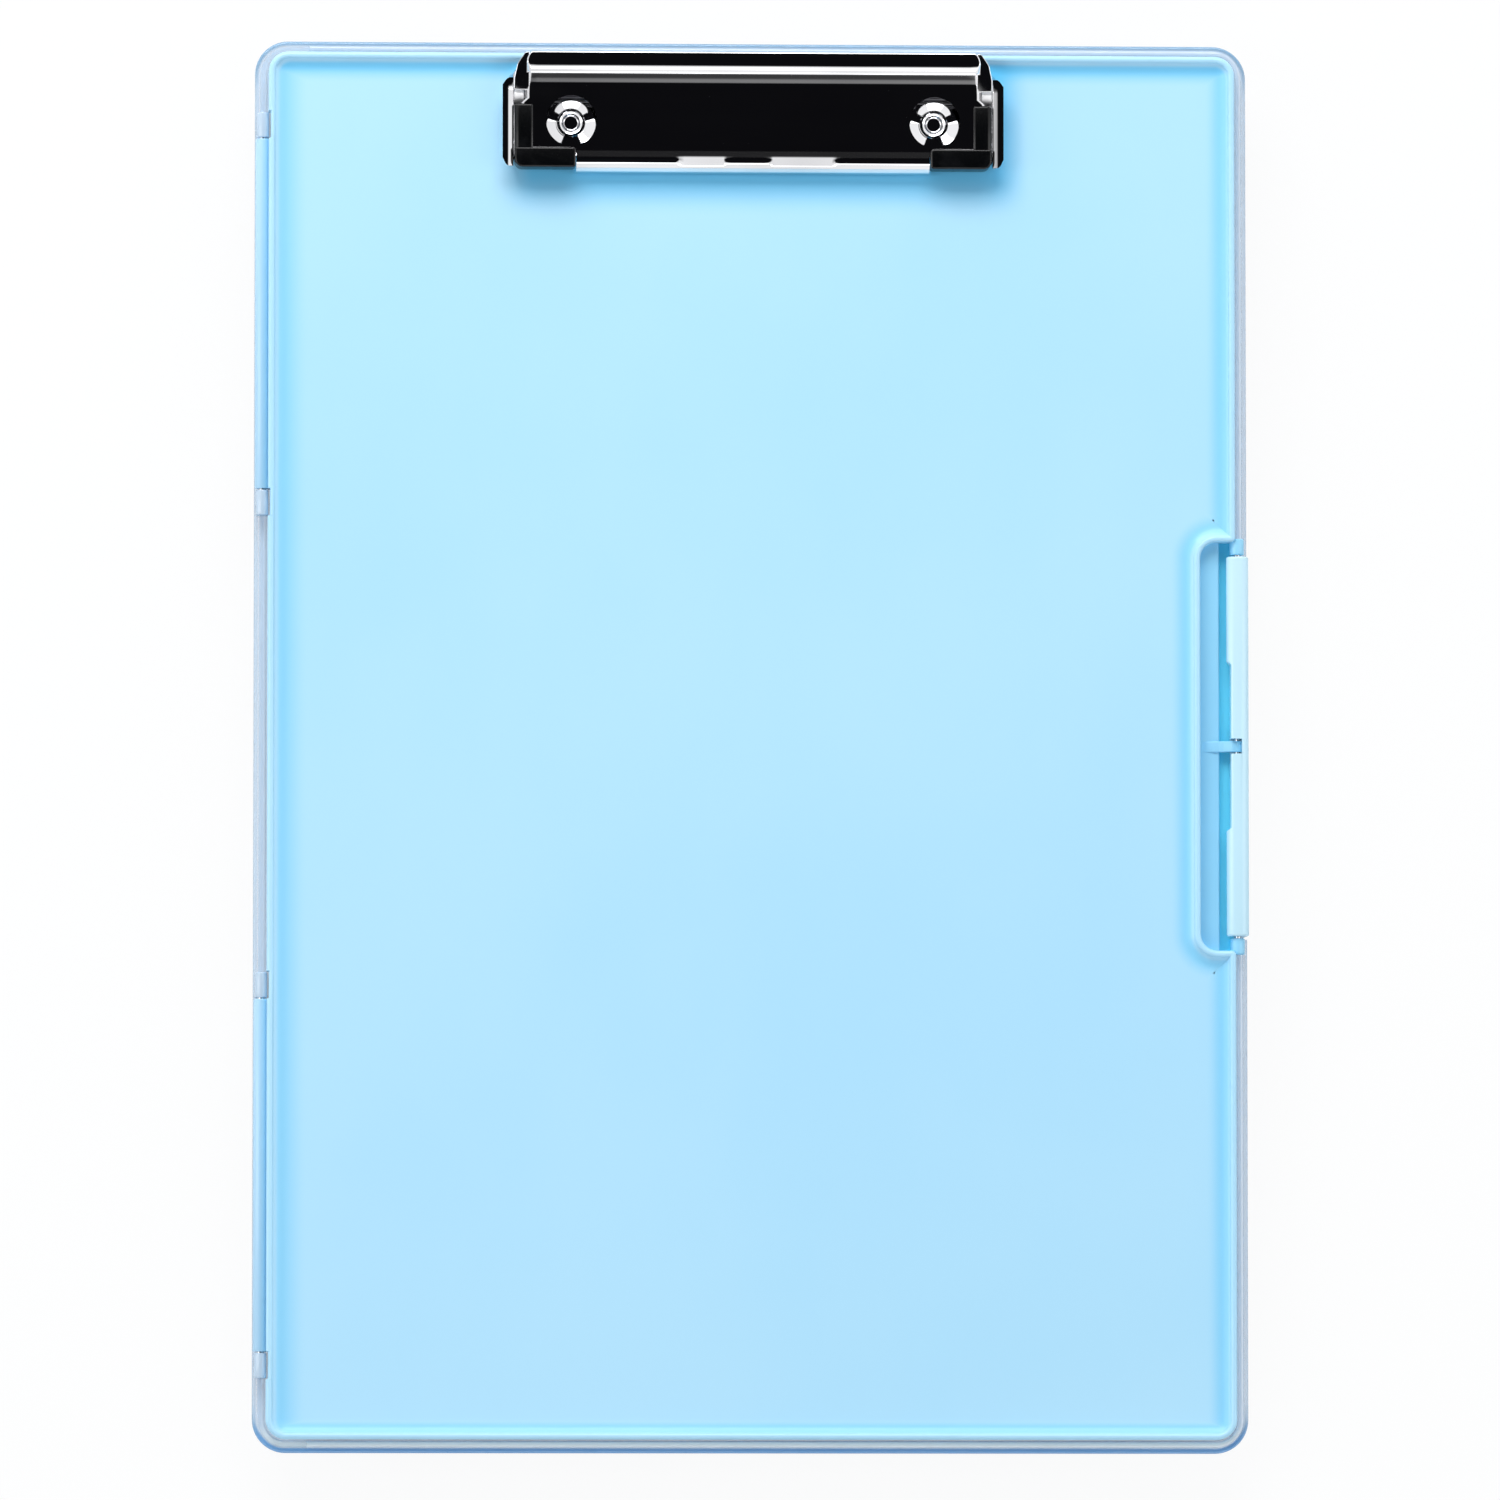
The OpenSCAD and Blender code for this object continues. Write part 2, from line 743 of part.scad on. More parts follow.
// a washer pressed into three petals
module cup_washer(x) {
    petal_gap = 1.6;
    color("#d5d9dd") translate([x, rivet_y, base_z]) difference() {
        cylinder(h = washer_t, r = access_r - 0.2);
        translate([0, 0, -1]) cylinder(h = 3, r = rivet_d / 2);
        for (a = [30, 150, 270]) rotate([0, 0, a])
            translate([rivet_d / 2 + 1.2, -petal_gap / 2, -1]) cube([10, petal_gap, 3]);
    }
}

module cup_washer_left() { cup_washer(-rivet_x); }
module cup_washer_right() { cup_washer(rivet_x); }

module backing_washer(x) {
    color("#c9ced3") translate([x, rivet_y, panel_under - backing_t]) difference() {
        cylinder(h = backing_t, r = rivet_d / 2 + 2.4);
        translate([0, 0, -1]) cylinder(h = 3, r = rivet_d / 2);
    }
}

module backing_washer_left() { backing_washer(-rivet_x); }
module backing_washer_right() { backing_washer(rivet_x); }

// ---- rubber corner grips ----

// the foot stands in for the jaw's lip at the corner and wraps onto its flat
module grip_foot_section(back_y) {
    front_y = tip_y + 0.5;
    top = jaw_z + grip_t;
    polygon([
        [front_y, panel_z + 0.4],
        [front_y, top - 1.4],
        [front_y + 0.9, top],
        [back_y, top],
        [back_y, jaw_z],
        [corner_cut_y - fit_gap, jaw_z],
        [corner_cut_y - fit_gap, panel_z + 0.4]
    ]);
}

module corner_grip() {
    foot_back_y = corner_cut_y + 1.8;
    strip_y = pivot_y - 1.6;
    strip_x = jaw_half - 3;
    foot_x = grip_out - grip_w;
    side_x = jaw_half + fit_gap;
    chamfer = 1.6;
    difference() {
        union() {
            along_x(foot_x, grip_out) grip_foot_section(foot_back_y);
            box(strip_x, grip_out, foot_back_y - join, strip_y, jaw_z, jaw_z + grip_t);
            box(side_x, grip_out, corner_cut_y - join, strip_y, jaw_z - 3, jaw_z + grip_t);
        }
        translate([grip_out, tip_y + 0.5, 0]) rotate([0, 0, 45])
            cube([chamfer * sqrt(2), chamfer * sqrt(2), 100], center = true);
    }
}

module corner_grip_left() { color("#1b1c1e") mirror([1, 0, 0]) corner_grip(); }
module corner_grip_right() { color("#1b1c1e") corner_grip(); }

tray();
lid();
hinge_pin_upper();
hinge_pin_lower();
latch();
latch_pin();
clip_base_plate();
clip_jaw();
clip_pivot_rod();
clip_spring_left();
clip_spring_right();
rivet_left();
rivet_right();
cup_washer_left();
cup_washer_right();
backing_washer_left();
backing_washer_right();
corner_grip_left();
corner_grip_right();
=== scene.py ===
"""Looks of the storage clipboard box: clear tray, light-blue lid, spring clip and snap latch.

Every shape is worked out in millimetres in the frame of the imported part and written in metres.
"""

import logging
import math
from dataclasses import dataclass, field
from enum import Enum
from typing import Optional, Sequence, Union

import bmesh
import bpy
import numpy as np
from mathutils import Matrix, Vector


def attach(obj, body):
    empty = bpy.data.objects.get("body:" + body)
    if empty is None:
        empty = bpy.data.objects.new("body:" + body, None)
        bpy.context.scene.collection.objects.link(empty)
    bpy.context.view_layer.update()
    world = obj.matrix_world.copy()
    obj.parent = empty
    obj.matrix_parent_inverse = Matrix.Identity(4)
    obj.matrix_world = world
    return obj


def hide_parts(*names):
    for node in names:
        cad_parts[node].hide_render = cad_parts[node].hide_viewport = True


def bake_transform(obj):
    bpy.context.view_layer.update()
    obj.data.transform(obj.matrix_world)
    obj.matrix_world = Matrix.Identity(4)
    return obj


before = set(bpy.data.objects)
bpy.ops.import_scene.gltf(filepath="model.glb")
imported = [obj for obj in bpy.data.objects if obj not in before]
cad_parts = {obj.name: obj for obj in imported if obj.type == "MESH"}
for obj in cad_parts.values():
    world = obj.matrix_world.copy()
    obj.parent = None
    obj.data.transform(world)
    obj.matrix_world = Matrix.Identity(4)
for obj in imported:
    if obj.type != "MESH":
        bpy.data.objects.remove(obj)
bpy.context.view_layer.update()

MM = 0.001  # a millimetre in metres
MARK = 0.02  # half of the step between two marks on an outline
LEAST_RADIUS = 0.12  # of a rounded corner, however far an inset shrinks it
SHEET_CREASE = 50.0  # degrees over which an edge of thin sheet stays sharp
HINGE_AXIS = (-117.1, 18.7)  # X and Z of the lid's hinge
LATCH_AXIS = (116.35, 19.35)  # X and Z of the latch's hinge
FLANGE_HALF = (119.0, 169.0)  # half the width and half the length of the tray's flange
FLANGE_CORNER = 8.0  # radius of its corners
LOG = logging.getLogger("clipboard_box")

Pair = tuple[float, float]
Triple = tuple[float, float, float]
Colour = tuple[float, float, float]


# ---------------------------------------------------------------- shader maths


class Value:
    """A number socket that adds Math nodes when it is used in an expression."""

    def __init__(self, graph: "Graph", socket: bpy.types.NodeSocket) -> None:
        """Wrap one output socket.

        Args:
            graph: the node graph that the socket belongs to.
            socket: the output socket.
        """
        self.graph = graph
        self.socket = socket

    def _math(self, operation: str, first: "Term", second: "Term") -> "Value":
        """Add one Math node and return its output."""
        node = self.graph.add("ShaderNodeMath", {"operation": operation}, {0: first, 1: second})
        return Value(self.graph, node.outputs[0])

    def __add__(self, other: "Term") -> "Value":
        """Return self + other."""
        return self._math("ADD", self, other)

    __radd__ = __add__

    def __sub__(self, other: "Term") -> "Value":
        """Return self - other."""
        return self._math("SUBTRACT", self, other)

    def __rsub__(self, other: "Term") -> "Value":
        """Return other - self."""
        return self._math("SUBTRACT", other, self)

    def __mul__(self, other: "Term") -> "Value":
        """Return self * other."""
        return self._math("MULTIPLY", self, other)

    __rmul__ = __mul__

    def __pow__(self, other: "Term") -> "Value":
        """Return self ** other."""
        return self._math("POWER", self, other)

    def size(self) -> "Value":
        """Return the number without its sign."""
        return self.most(self * -1.0)

    def least(self, other: "Term") -> "Value":
        """Return the smaller of self and other."""
        return self._math("MINIMUM", self, other)

    def most(self, other: "Term") -> "Value":
        """Return the larger of self and other."""
        return self._math("MAXIMUM", self, other)

    def step(self, low: float, high: float) -> "Value":
        """Return 0 below low, 1 above high and a smooth rise between.

        Args:
            low: value at which the rise starts.
            high: value at which it ends.
        """
        node = self.graph.add(
            "ShaderNodeMapRange",
            {"interpolation_type": "SMOOTHSTEP"},
            {"Value": self, "From Min": low, "From Max": high},
        )
        return Value(self.graph, node.outputs[0])


Term = Union[float, Value]


class Graph:
    """The node graph of one material or world."""

    def __init__(self, tree: bpy.types.NodeTree) -> None:
        """Empty the tree and keep it.

        Args:
            tree: the node tree to build in.
        """
        tree.nodes.clear()
        self.tree = tree

    def add(
        self, kind: str, settings: Optional[dict] = None, inputs: Optional[dict] = None
    ) -> bpy.types.Node:
        """Add any node.

        Args:
            kind: the node's type name.
            settings: attributes to set first.
            inputs: socket name or index to a number, a colour, a Value or an output socket.

        Returns:
            The new node.
        """
        node = self.tree.nodes.new(kind)
        for name, value in (settings or {}).items():
            setattr(node, name, value)
        for name, value in (inputs or {}).items():
            self.join(node.inputs[name], value)
        return node

    def join(self, socket: bpy.types.NodeSocket, value: object) -> None:
        """Link a Value or an output socket to a socket, or set its number or colour."""
        if isinstance(value, Value):
            value = value.socket
        if isinstance(value, bpy.types.NodeSocket):
            self.tree.links.new(value, socket)
        else:
            socket.default_value = value

    def feed(self, shader: bpy.types.Node, **sockets: object) -> None:
        """Set or link several sockets of a shader.

        Args:
            shader: the node to feed.
            sockets: socket names, with underscores for spaces, and what each one gets.
        """
        for name, value in sockets.items():
            self.join(shader.inputs[name.replace("_", " ")], value)

    def place(self) -> bpy.types.NodeSocket:
        """Return the place of the shaded point on its object, in metres."""
        return self.add("ShaderNodeTexCoord").outputs["Object"]

    def stretched(self, scale: Sequence[float]) -> bpy.types.NodeSocket:
        """Return the place of the shaded point with each axis scaled.

        Args:
            scale: factor along X, Y and Z.
        """
        node = self.add("ShaderNodeMapping", None, {"Vector": self.place(), "Scale": tuple(scale)})
        return node.outputs[0]

    def noise(
        self, scale: float, detail: float, where: Optional[bpy.types.NodeSocket] = None
    ) -> Value:
        """Return fractal noise between about 0.25 and 0.75.

        Args:
            scale: grains per metre.
            detail: octaves.
            where: the point to read it at, or None for the place on the object.
        """
        node = self.add(
            "ShaderNodeTexNoise",
            None,
            {"Vector": where or self.place(), "Scale": scale, "Detail": detail},
        )
        return Value(self, node.outputs["Fac"])

    def axis(self, name: str) -> Value:
        """Return X, Y or Z of the shaded point, in millimetres."""
        node = self.add("ShaderNodeSeparateXYZ", None, {0: self.place()})
        return Value(self, node.outputs[name]) * (1.0 / MM)

    def inside(self, half: Pair, corner: float, centre: Pair = (0.0, 0.0)) -> Value:
        """Return how far the shaded point lies inside a rounded rectangle.

        With u = |x| - a and v = |y| - b from its centre, where (a, b) is the half size less r, it
        is r - |(max(u, 0), max(v, 0))| - min(max(u, v), 0).

        Args:
            half: half the rectangle's width and length, in millimetres.
            corner: radius r of its corners, in millimetres.
            centre: its centre, in millimetres.

        Returns:
            The distance in millimetres.
        """
        u = (self.axis("X") - centre[0]).size() - (half[0] - corner)
        v = (self.axis("Y") - centre[1]).size() - (half[1] - corner)
        a, b = u.most(0.0), v.most(0.0)
        return corner - (a * a + b * b) ** 0.5 - u.most(v).least(0.0)

    def blend(self, mask: Term, first: Colour, second: Colour) -> bpy.types.NodeSocket:
        """Return a mix of two plain colours, first where mask is 0 and second where it is 1."""
        return self.mix(mask, (*first, 1.0), (*second, 1.0))

    def mix(self, mask: Term, first: object, second: object) -> bpy.types.NodeSocket:
        """Return a mix of two colours, each a link or four numbers.

        Args:
            mask: share of the second colour.
            first: the colour where mask is 0.
            second: the colour where mask is 1.
        """
        node = self.add("ShaderNodeMix", {"data_type": "RGBA"}, {0: mask, 6: first, 7: second})
        return node.outputs[2]

    def bump(self, height: Value, strength: float, distance: float) -> bpy.types.NodeSocket:
        """Return a normal bent by a height.

        Args:
            height: the height, 0 to 1.
            strength: how much of it shows.
            distance: height of 1, in metres.
        """
        inputs = {"Strength": strength, "Distance": distance, "Height": height}
        return self.add("ShaderNodeBump", None, inputs).outputs[0]


def linear(red: int, green: int, blue: int) -> Colour:
    """Return a display colour, 0 to 255, as linear light."""
    parts = np.array([red, green, blue]) / 255.0
    light = np.where(parts <= 0.04045, parts / 12.92, ((parts + 0.055) / 1.055) ** 2.4)
    return tuple(float(v) for v in light)


# ---------------------------------------------------------------- finishes


@dataclass(frozen=True)
class Finish:
    """A surface finish, made once and shared by the pieces that have it."""

    name: str

    def material(self) -> bpy.types.Material:
        """Return the finish's material, building it the first time."""
        known = bpy.data.materials.get(self.name)
        if known is not None:
            return known
        made = bpy.data.materials.new(self.name)
        made.use_nodes = True
        graph = Graph(made.node_tree)
        shader = graph.add("ShaderNodeBsdfPrincipled")
        self.dress(graph, shader)
        graph.add("ShaderNodeOutputMaterial", None, {"Surface": shader.outputs[0]})
        return made

    def dress(self, graph: Graph, shader: bpy.types.Node) -> None:
        """Set the sockets of the shader.

        Args:
            graph: the material's node graph.
            shader: its Principled BSDF.
        """
        raise NotImplementedError


@dataclass(frozen=True)
class MouldedPlastic(Finish):
    """Opaque moulded plastic with faint flow clouding and a fine satin grain."""

    colour: Colour = (0.5, 0.8, 0.95)
    deep: Colour = (0.45, 0.78, 0.95)
    gloss: float = 0.35
    grain: float = 0.06

    def dress(self, graph: Graph, shader: bpy.types.Node) -> None:
        """Cloud the colour slowly and break up the gloss with a fine grain."""
        cloud = graph.noise(9.0, 3.0)
        fine = graph.noise(1700.0, 2.0)
        swirl = graph.noise(55.0, 3.0, graph.stretched((1.0, 0.35, 1.0)))
        mask = cloud.step(0.35, 0.68) * 0.8 + swirl.step(0.3, 0.7) * 0.2
        graph.feed(
            shader,
            Base_Color=self.tint(graph, graph.blend(mask, self.colour, self.deep)),
            Roughness=self.gloss + (fine - 0.5) * 0.12 + (swirl - 0.5) * 0.08,
            Normal=graph.bump(fine, self.grain, 0.00002),
            IOR=1.49,
        )

    def tint(self, graph: Graph, colour: bpy.types.NodeSocket) -> bpy.types.NodeSocket:
        """Return the colour as it is, for pieces without painted shade."""
        return colour


@dataclass(frozen=True)
class DeckPlastic(MouldedPlastic):
    """The lid's plastic, with painted shade along the rim's foot and a painted shadow by the clip.

    The panel is a rounded rectangle (half, corner, centre) less one for the latch bay, and upper
    is the height over which the painted shade sets in. Each side has a share of the painted shade
    colour and a reach of it inwards. The painted shadow by the clip has a middle, a half width and
    its fade, a front edge with its reach, and a share.
    """

    # painted shade: colour painted along the foot of the rim
    painted_shade: Colour = (0.1, 0.6, 0.95)
    half: Pair = (114.2, 164.4)
    corner: float = 3.6
    centre: Pair = (0.3, -0.3)
    bay: Pair = (13.3, 50.6)
    bay_corner: float = 5.6
    bay_centre: Pair = (119.0, 0.0)
    upper: Pair = (18.4, 19.4)
    edge: Pair = (-0.1, 1.1)
    full_depth: float = 1.5
    top: Pair = (0.72, 5.8)
    hinge: Pair = (0.46, 8.0)
    latch: Pair = (0.5, 5.6)
    foot: Pair = (0.52, 3.0)
    # painted shadow: colour painted in front of and beside the clip
    shade: Colour = (0.12, 0.62, 1.0)
    shade_x: Triple = (3.0, 55.0, 9.0)
    shade_y: Pair = (137.5, 11.0)
    shade_share: float = 0.85

    def tint(self, graph: Graph, colour: bpy.types.NodeSocket) -> bpy.types.NodeSocket:
        """Return the colour with painted shade near the rim's foot and a painted shadow by the
        clip.

        The painted shade rises over the first millimetre inwards from the foot and falls as a
        smooth step, with a share and a reach of its own on each side of the rim. The painted shadow
        falls away as another step from the clip's front edge. Both stay on the upper face of the
        panel.
        """
        x, y, z = (graph.axis(name) for name in "XYZ")
        bay = graph.inside(self.bay, self.bay_corner, self.bay_centre) * -1.0
        within = graph.inside(self.half, self.corner, self.centre).least(bay)
        panel = within.step(*self.edge) * z.step(*self.upper)
        sides = [
            (self.top, self.half[1] - y),
            (self.foot, y + self.half[1]),
            (self.hinge, x + self.half[0]),
            (self.latch, (self.half[0] - x).least(bay)),
        ]
        near: Term = 0.0
        for (share, reach), depth in sides:
            near = ((1.0 - depth.step(self.full_depth, reach)) * share).most(near)
        # painted shade along the foot of the rim
        rim_shaded = graph.mix(near * panel, colour, (*self.painted_shade, 1.0))
        # painted shadow of the clip, in front of and beside it
        middle, wide, fade = self.shade_x
        front, reach = self.shade_y
        clip = y.step(front - reach, front) * (1.0 - (x - middle).size().step(wide, wide + fade))
        return graph.mix(clip * panel * self.shade_share, rim_shaded, (*self.shade, 1.0))


@dataclass(frozen=True)
class BayPlastic(MouldedPlastic):
    """The plastic of the latch bay, with painted shade: purer blue low down in its groove."""

    # colour of the painted shade low down in the groove
    low: Colour = (0.17, 0.77, 1.0)
    wall: Pair = (16.9, 18.3)

    def tint(self, graph: Graph, colour: bpy.types.NodeSocket) -> bpy.types.NodeSocket:
        """Return the colour blended to the painted shade as a smooth step down the groove's wall.
        """
        mask = 1.0 - graph.axis("Z").step(*self.wall)
        return graph.mix(mask, colour, (*self.low, 1.0))


@dataclass(frozen=True)
class HingePlastic(MouldedPlastic):
    """The plastic of the hinge barrels, with painted shade on the side that faces the lid."""

    # colour of the painted shade where the barrel meets the lid
    inner: Colour = (0.22, 0.55, 0.78)
    across: Pair = (-118.4, -116.0)
    share: float = 0.6

    def tint(self, graph: Graph, colour: bpy.types.NodeSocket) -> bpy.types.NodeSocket:
        """Return the colour blended to the painted shade as a smooth step across the barrel."""
        mask = graph.axis("X").step(*self.across) * self.share
        return graph.mix(mask, colour, (*self.inner, 1.0))


@dataclass(frozen=True)
class ClearPlastic(Finish):
    """Clear moulded plastic: see-through face on, denser and bluer at a glancing angle."""

    colour: Colour = (0.5, 0.68, 0.86)
    edge: Colour = (0.36, 0.52, 0.68)
    thin: float = 0.3
    dense: float = 0.85
    # glow and the density on the next line belong to the painted highlight on a bead
    glow: Colour = (0.7, 0.78, 0.9)
    highlight_dense: float = 0.85

    def dress(self, graph: Graph, shader: bpy.types.Node) -> None:
        """Let the facing angle and the painted shade set how dense and how blue it looks."""
        weight = graph.add("ShaderNodeLayerWeight", None, {"Blend": 0.45})
        facing = Value(graph, weight.outputs["Facing"])
        flow = graph.noise(38.0, 3.0, graph.stretched((1.0, 0.3, 1.0)))
        fine = graph.noise(900.0, 2.0)
        slant = (facing ** 1.6).most(self.painted_shade(graph))
        # share of the painted highlight
        lit = self.lit(graph)
        plain = graph.mix(slant.step(0.05, 0.9), (*self.colour, 1.0), self.deep(graph))
        seen = self.thin + slant * (self.dense - self.thin) + (flow - 0.5) * 0.1
        graph.feed(
            shader,
            Base_Color=graph.mix(lit, plain, self.bright(graph)),
            Alpha=seen + lit * (self.highlight_dense - seen),
            Roughness=0.07 + (flow - 0.5) * 0.06,
            Normal=graph.bump(fine * 0.4 + flow * 0.6, 0.05, 0.00005),
            IOR=1.59,
        )

    def painted_shade(self, graph: Graph) -> Term:
        """Return 0, for pieces without painted shade."""
        return 0.0

    def lit(self, graph: Graph) -> Term:
        """Return the share of painted highlight: 0, for pieces without a bead."""
        return 0.0

    def deep(self, graph: Graph) -> object:
        """Return the colour of the dense places and of the painted shade."""
        return (*self.edge, 1.0)

    def bright(self, graph: Graph) -> object:
        """Return the colour of the painted highlight."""
        return (*self.glow, 1.0)


@dataclass(frozen=True)
class FlangePlastic(ClearPlastic):
    """The tray's plastic: painted shade at the flange's edge, a painted highlight on its raised
    bead.
    """

    # edge_width and groove place the painted shade; foot_edge is its colour along the foot
    edge_width: float = 1.3
    bead: float = 2.0
    groove: float = 3.1
    foot_y: Pair = (-166.0, -160.0)
    foot_edge: Colour = (0.2, 0.46, 0.82)
    # colour of the painted highlight along the foot
    foot_highlight: Colour = (0.97, 1.0, 1.0)
    ends_y: Pair = (155.0, 167.0)

    def depth(self, graph: Graph) -> Value:
        """Return how far the place lies inside the flange's edge, in millimetres."""
        return graph.inside(FLANGE_HALF, FLANGE_CORNER)

    def painted_shade(self, graph: Graph) -> Value:
        """Return the painted shade: most at the ends' edge and in the groove inside the bead."""
        depth = self.depth(graph)
        # painted shade: a dark line at the flange's edge, in place of the dark its rounded edge
        # refracts
        edge = 1.0 - (depth - self.foot(graph) * 0.4).step(0.3, self.edge_width)
        # painted shade in the groove between the bead and the lid's edge
        groove = 1.0 - (depth - self.groove).size().step(0.15, 0.6)
        return edge * (self.ends(graph) * 0.75 + 0.25) + groove * 0.22

    def lit(self, graph: Graph) -> Value:
        """Return the painted highlight on the bead, as a smooth hump across its width."""
        hump = 1.0 - (self.depth(graph) - self.bead).size().step(0.3, 0.9)
        # the painted highlight is fuller along the foot
        return hump * (0.5 + self.foot(graph) * 0.5)

    def foot(self, graph: Graph) -> Value:
        """Return 1 along the short side away from the clip."""
        return 1.0 - graph.axis("Y").step(*self.foot_y)

    def deep(self, graph: Graph) -> object:
        """Return the colour of the edge and of the painted shade, purer blue away from the clip."""
        return graph.blend(self.foot(graph), self.edge, self.foot_edge)

    def bright(self, graph: Graph) -> object:
        """Return the colour of the painted highlight on the bead, paler away from the clip."""
        return graph.blend(self.foot(graph), self.glow, self.foot_highlight)

    def ends(self, graph: Graph) -> Value:
        """Return 1 along the two short sides and 0 along the long ones."""
        return graph.axis("Y").size().step(*self.ends_y)


@dataclass(frozen=True)
class BrightPlate(Finish):
    """Nickel-plated sheet steel, polished, with faint rolling marks."""

    colour: Colour = (0.86, 0.86, 0.88)
    dull: Colour = (0.74, 0.74, 0.76)
    gloss: float = 0.05

    def dress(self, graph: Graph, shader: bpy.types.Node) -> None:
        """Stretch the rolling marks along the clip and smear the polish a little."""
        rolled = graph.noise(260.0, 3.0, graph.stretched((0.08, 1.0, 1.0)))
        smear = graph.noise(35.0, 2.0)
        graph.feed(
            shader,
            Base_Color=graph.blend(smear.step(0.4, 0.75), self.colour, self.dull),
            Metallic=1.0,
            Roughness=self.gloss + (rolled - 0.5) * 0.05 + smear.step(0.5, 0.8) * 0.04,
            Normal=graph.bump(rolled, 0.03, 0.00002),
        )


@dataclass(frozen=True)
class DrawnSteel(Finish):
    """Plain drawn steel, satin, with marks along the drawing direction."""

    along: Triple = (1.0, 0.05, 1.0)
    colour: Colour = (0.62, 0.63, 0.65)
    dull: Colour = (0.42, 0.42, 0.44)
    gloss: float = 0.24

    def dress(self, graph: Graph, shader: bpy.types.Node) -> None:
        """Draw fine marks along the piece and dull it in patches."""
        marks = graph.noise(1500.0, 3.0, graph.stretched(self.along))
        patch = graph.noise(120.0, 2.0)
        graph.feed(
            shader,
            Base_Color=graph.blend(marks.step(0.35, 0.7), self.colour, self.dull),
            Metallic=1.0,
            Roughness=self.gloss + (marks - 0.5) * 0.2 + (patch - 0.5) * 0.12,
            Normal=graph.bump(marks, 0.15, 0.00003),
        )


@dataclass(frozen=True)
class MouldedRubber(Finish):
    """Black moulded rubber with a fine matt grain and paler wear."""

    colour: Colour = (0.0012, 0.0014, 0.0018)
    worn: Colour = (0.004, 0.0042, 0.0048)

    def dress(self, graph: Graph, shader: bpy.types.Node) -> None:
        """Grain the surface and wear it a little in patches."""
        grain = graph.noise(2600.0, 3.0)
        wear = graph.noise(240.0, 4.0)
        graph.feed(
            shader,
            Base_Color=graph.blend(wear.step(0.52, 0.75), self.colour, self.worn),
            Roughness=0.24 + (grain - 0.5) * 0.16,
            Normal=graph.bump(grain, 0.1, 0.00002),
            Specular_IOR_Level=0.3,
        )


DECK_BLUE = DeckPlastic("deck_plastic", linear(189, 233, 255), linear(183, 230, 254), 0.34, 0.05)
# painted shade: a darker copy of the deck's colour, for the skirt under the lid and the recessed
# latch bay
SHADED_LID_BLUE = MouldedPlastic("lid_plastic", linear(160, 222, 250), linear(152, 217, 249), 0.34, 0.05)
SHADED_BAY_BLUE = BayPlastic("bay_plastic", linear(160, 222, 250), linear(152, 217, 249), 0.34, 0.05)
LATCH_BLUE = MouldedPlastic("latch_blue", linear(213, 243, 255), linear(206, 241, 254), 0.2, 0.03)
FLANGE = FlangePlastic("flange_plastic", edge=(0.27, 0.46, 0.65))
CLEAR = ClearPlastic("clear_styrene")
KNUCKLE = ClearPlastic("knuckle_plastic", (0.66, 0.8, 0.94), (0.58, 0.73, 0.88), 0.8, 0.95)
BARREL = HingePlastic("barrel_plastic", linear(188, 224, 249), linear(178, 219, 246), 0.2, 0.03)
CHROME = BrightPlate("clip_plate")
STEEL_Y = DrawnSteel("pin_steel")
STEEL_X = DrawnSteel("rod_steel", (0.05, 1.0, 1.0), (0.96, 0.96, 0.97), (0.9, 0.9, 0.91), 0.62)
# painted shade: the rod's shaft is coloured near black for the shade under the jaw, in place of
# bright steel
SHADED_SHAFT = DrawnSteel("shaft_steel", (0.05, 1.0, 1.0), (0.05, 0.05, 0.055), (0.03, 0.03, 0.035), 0.3)
SPRING = DrawnSteel("spring_wire", (0.4, 1.0, 1.0), (0.5, 0.5, 0.52), (0.35, 0.35, 0.36))
WASHER = DrawnSteel("washer_steel", (1.0, 1.0, 0.1))
RUBBER = MouldedRubber("grip_rubber")


# ---------------------------------------------------------------- mesh making


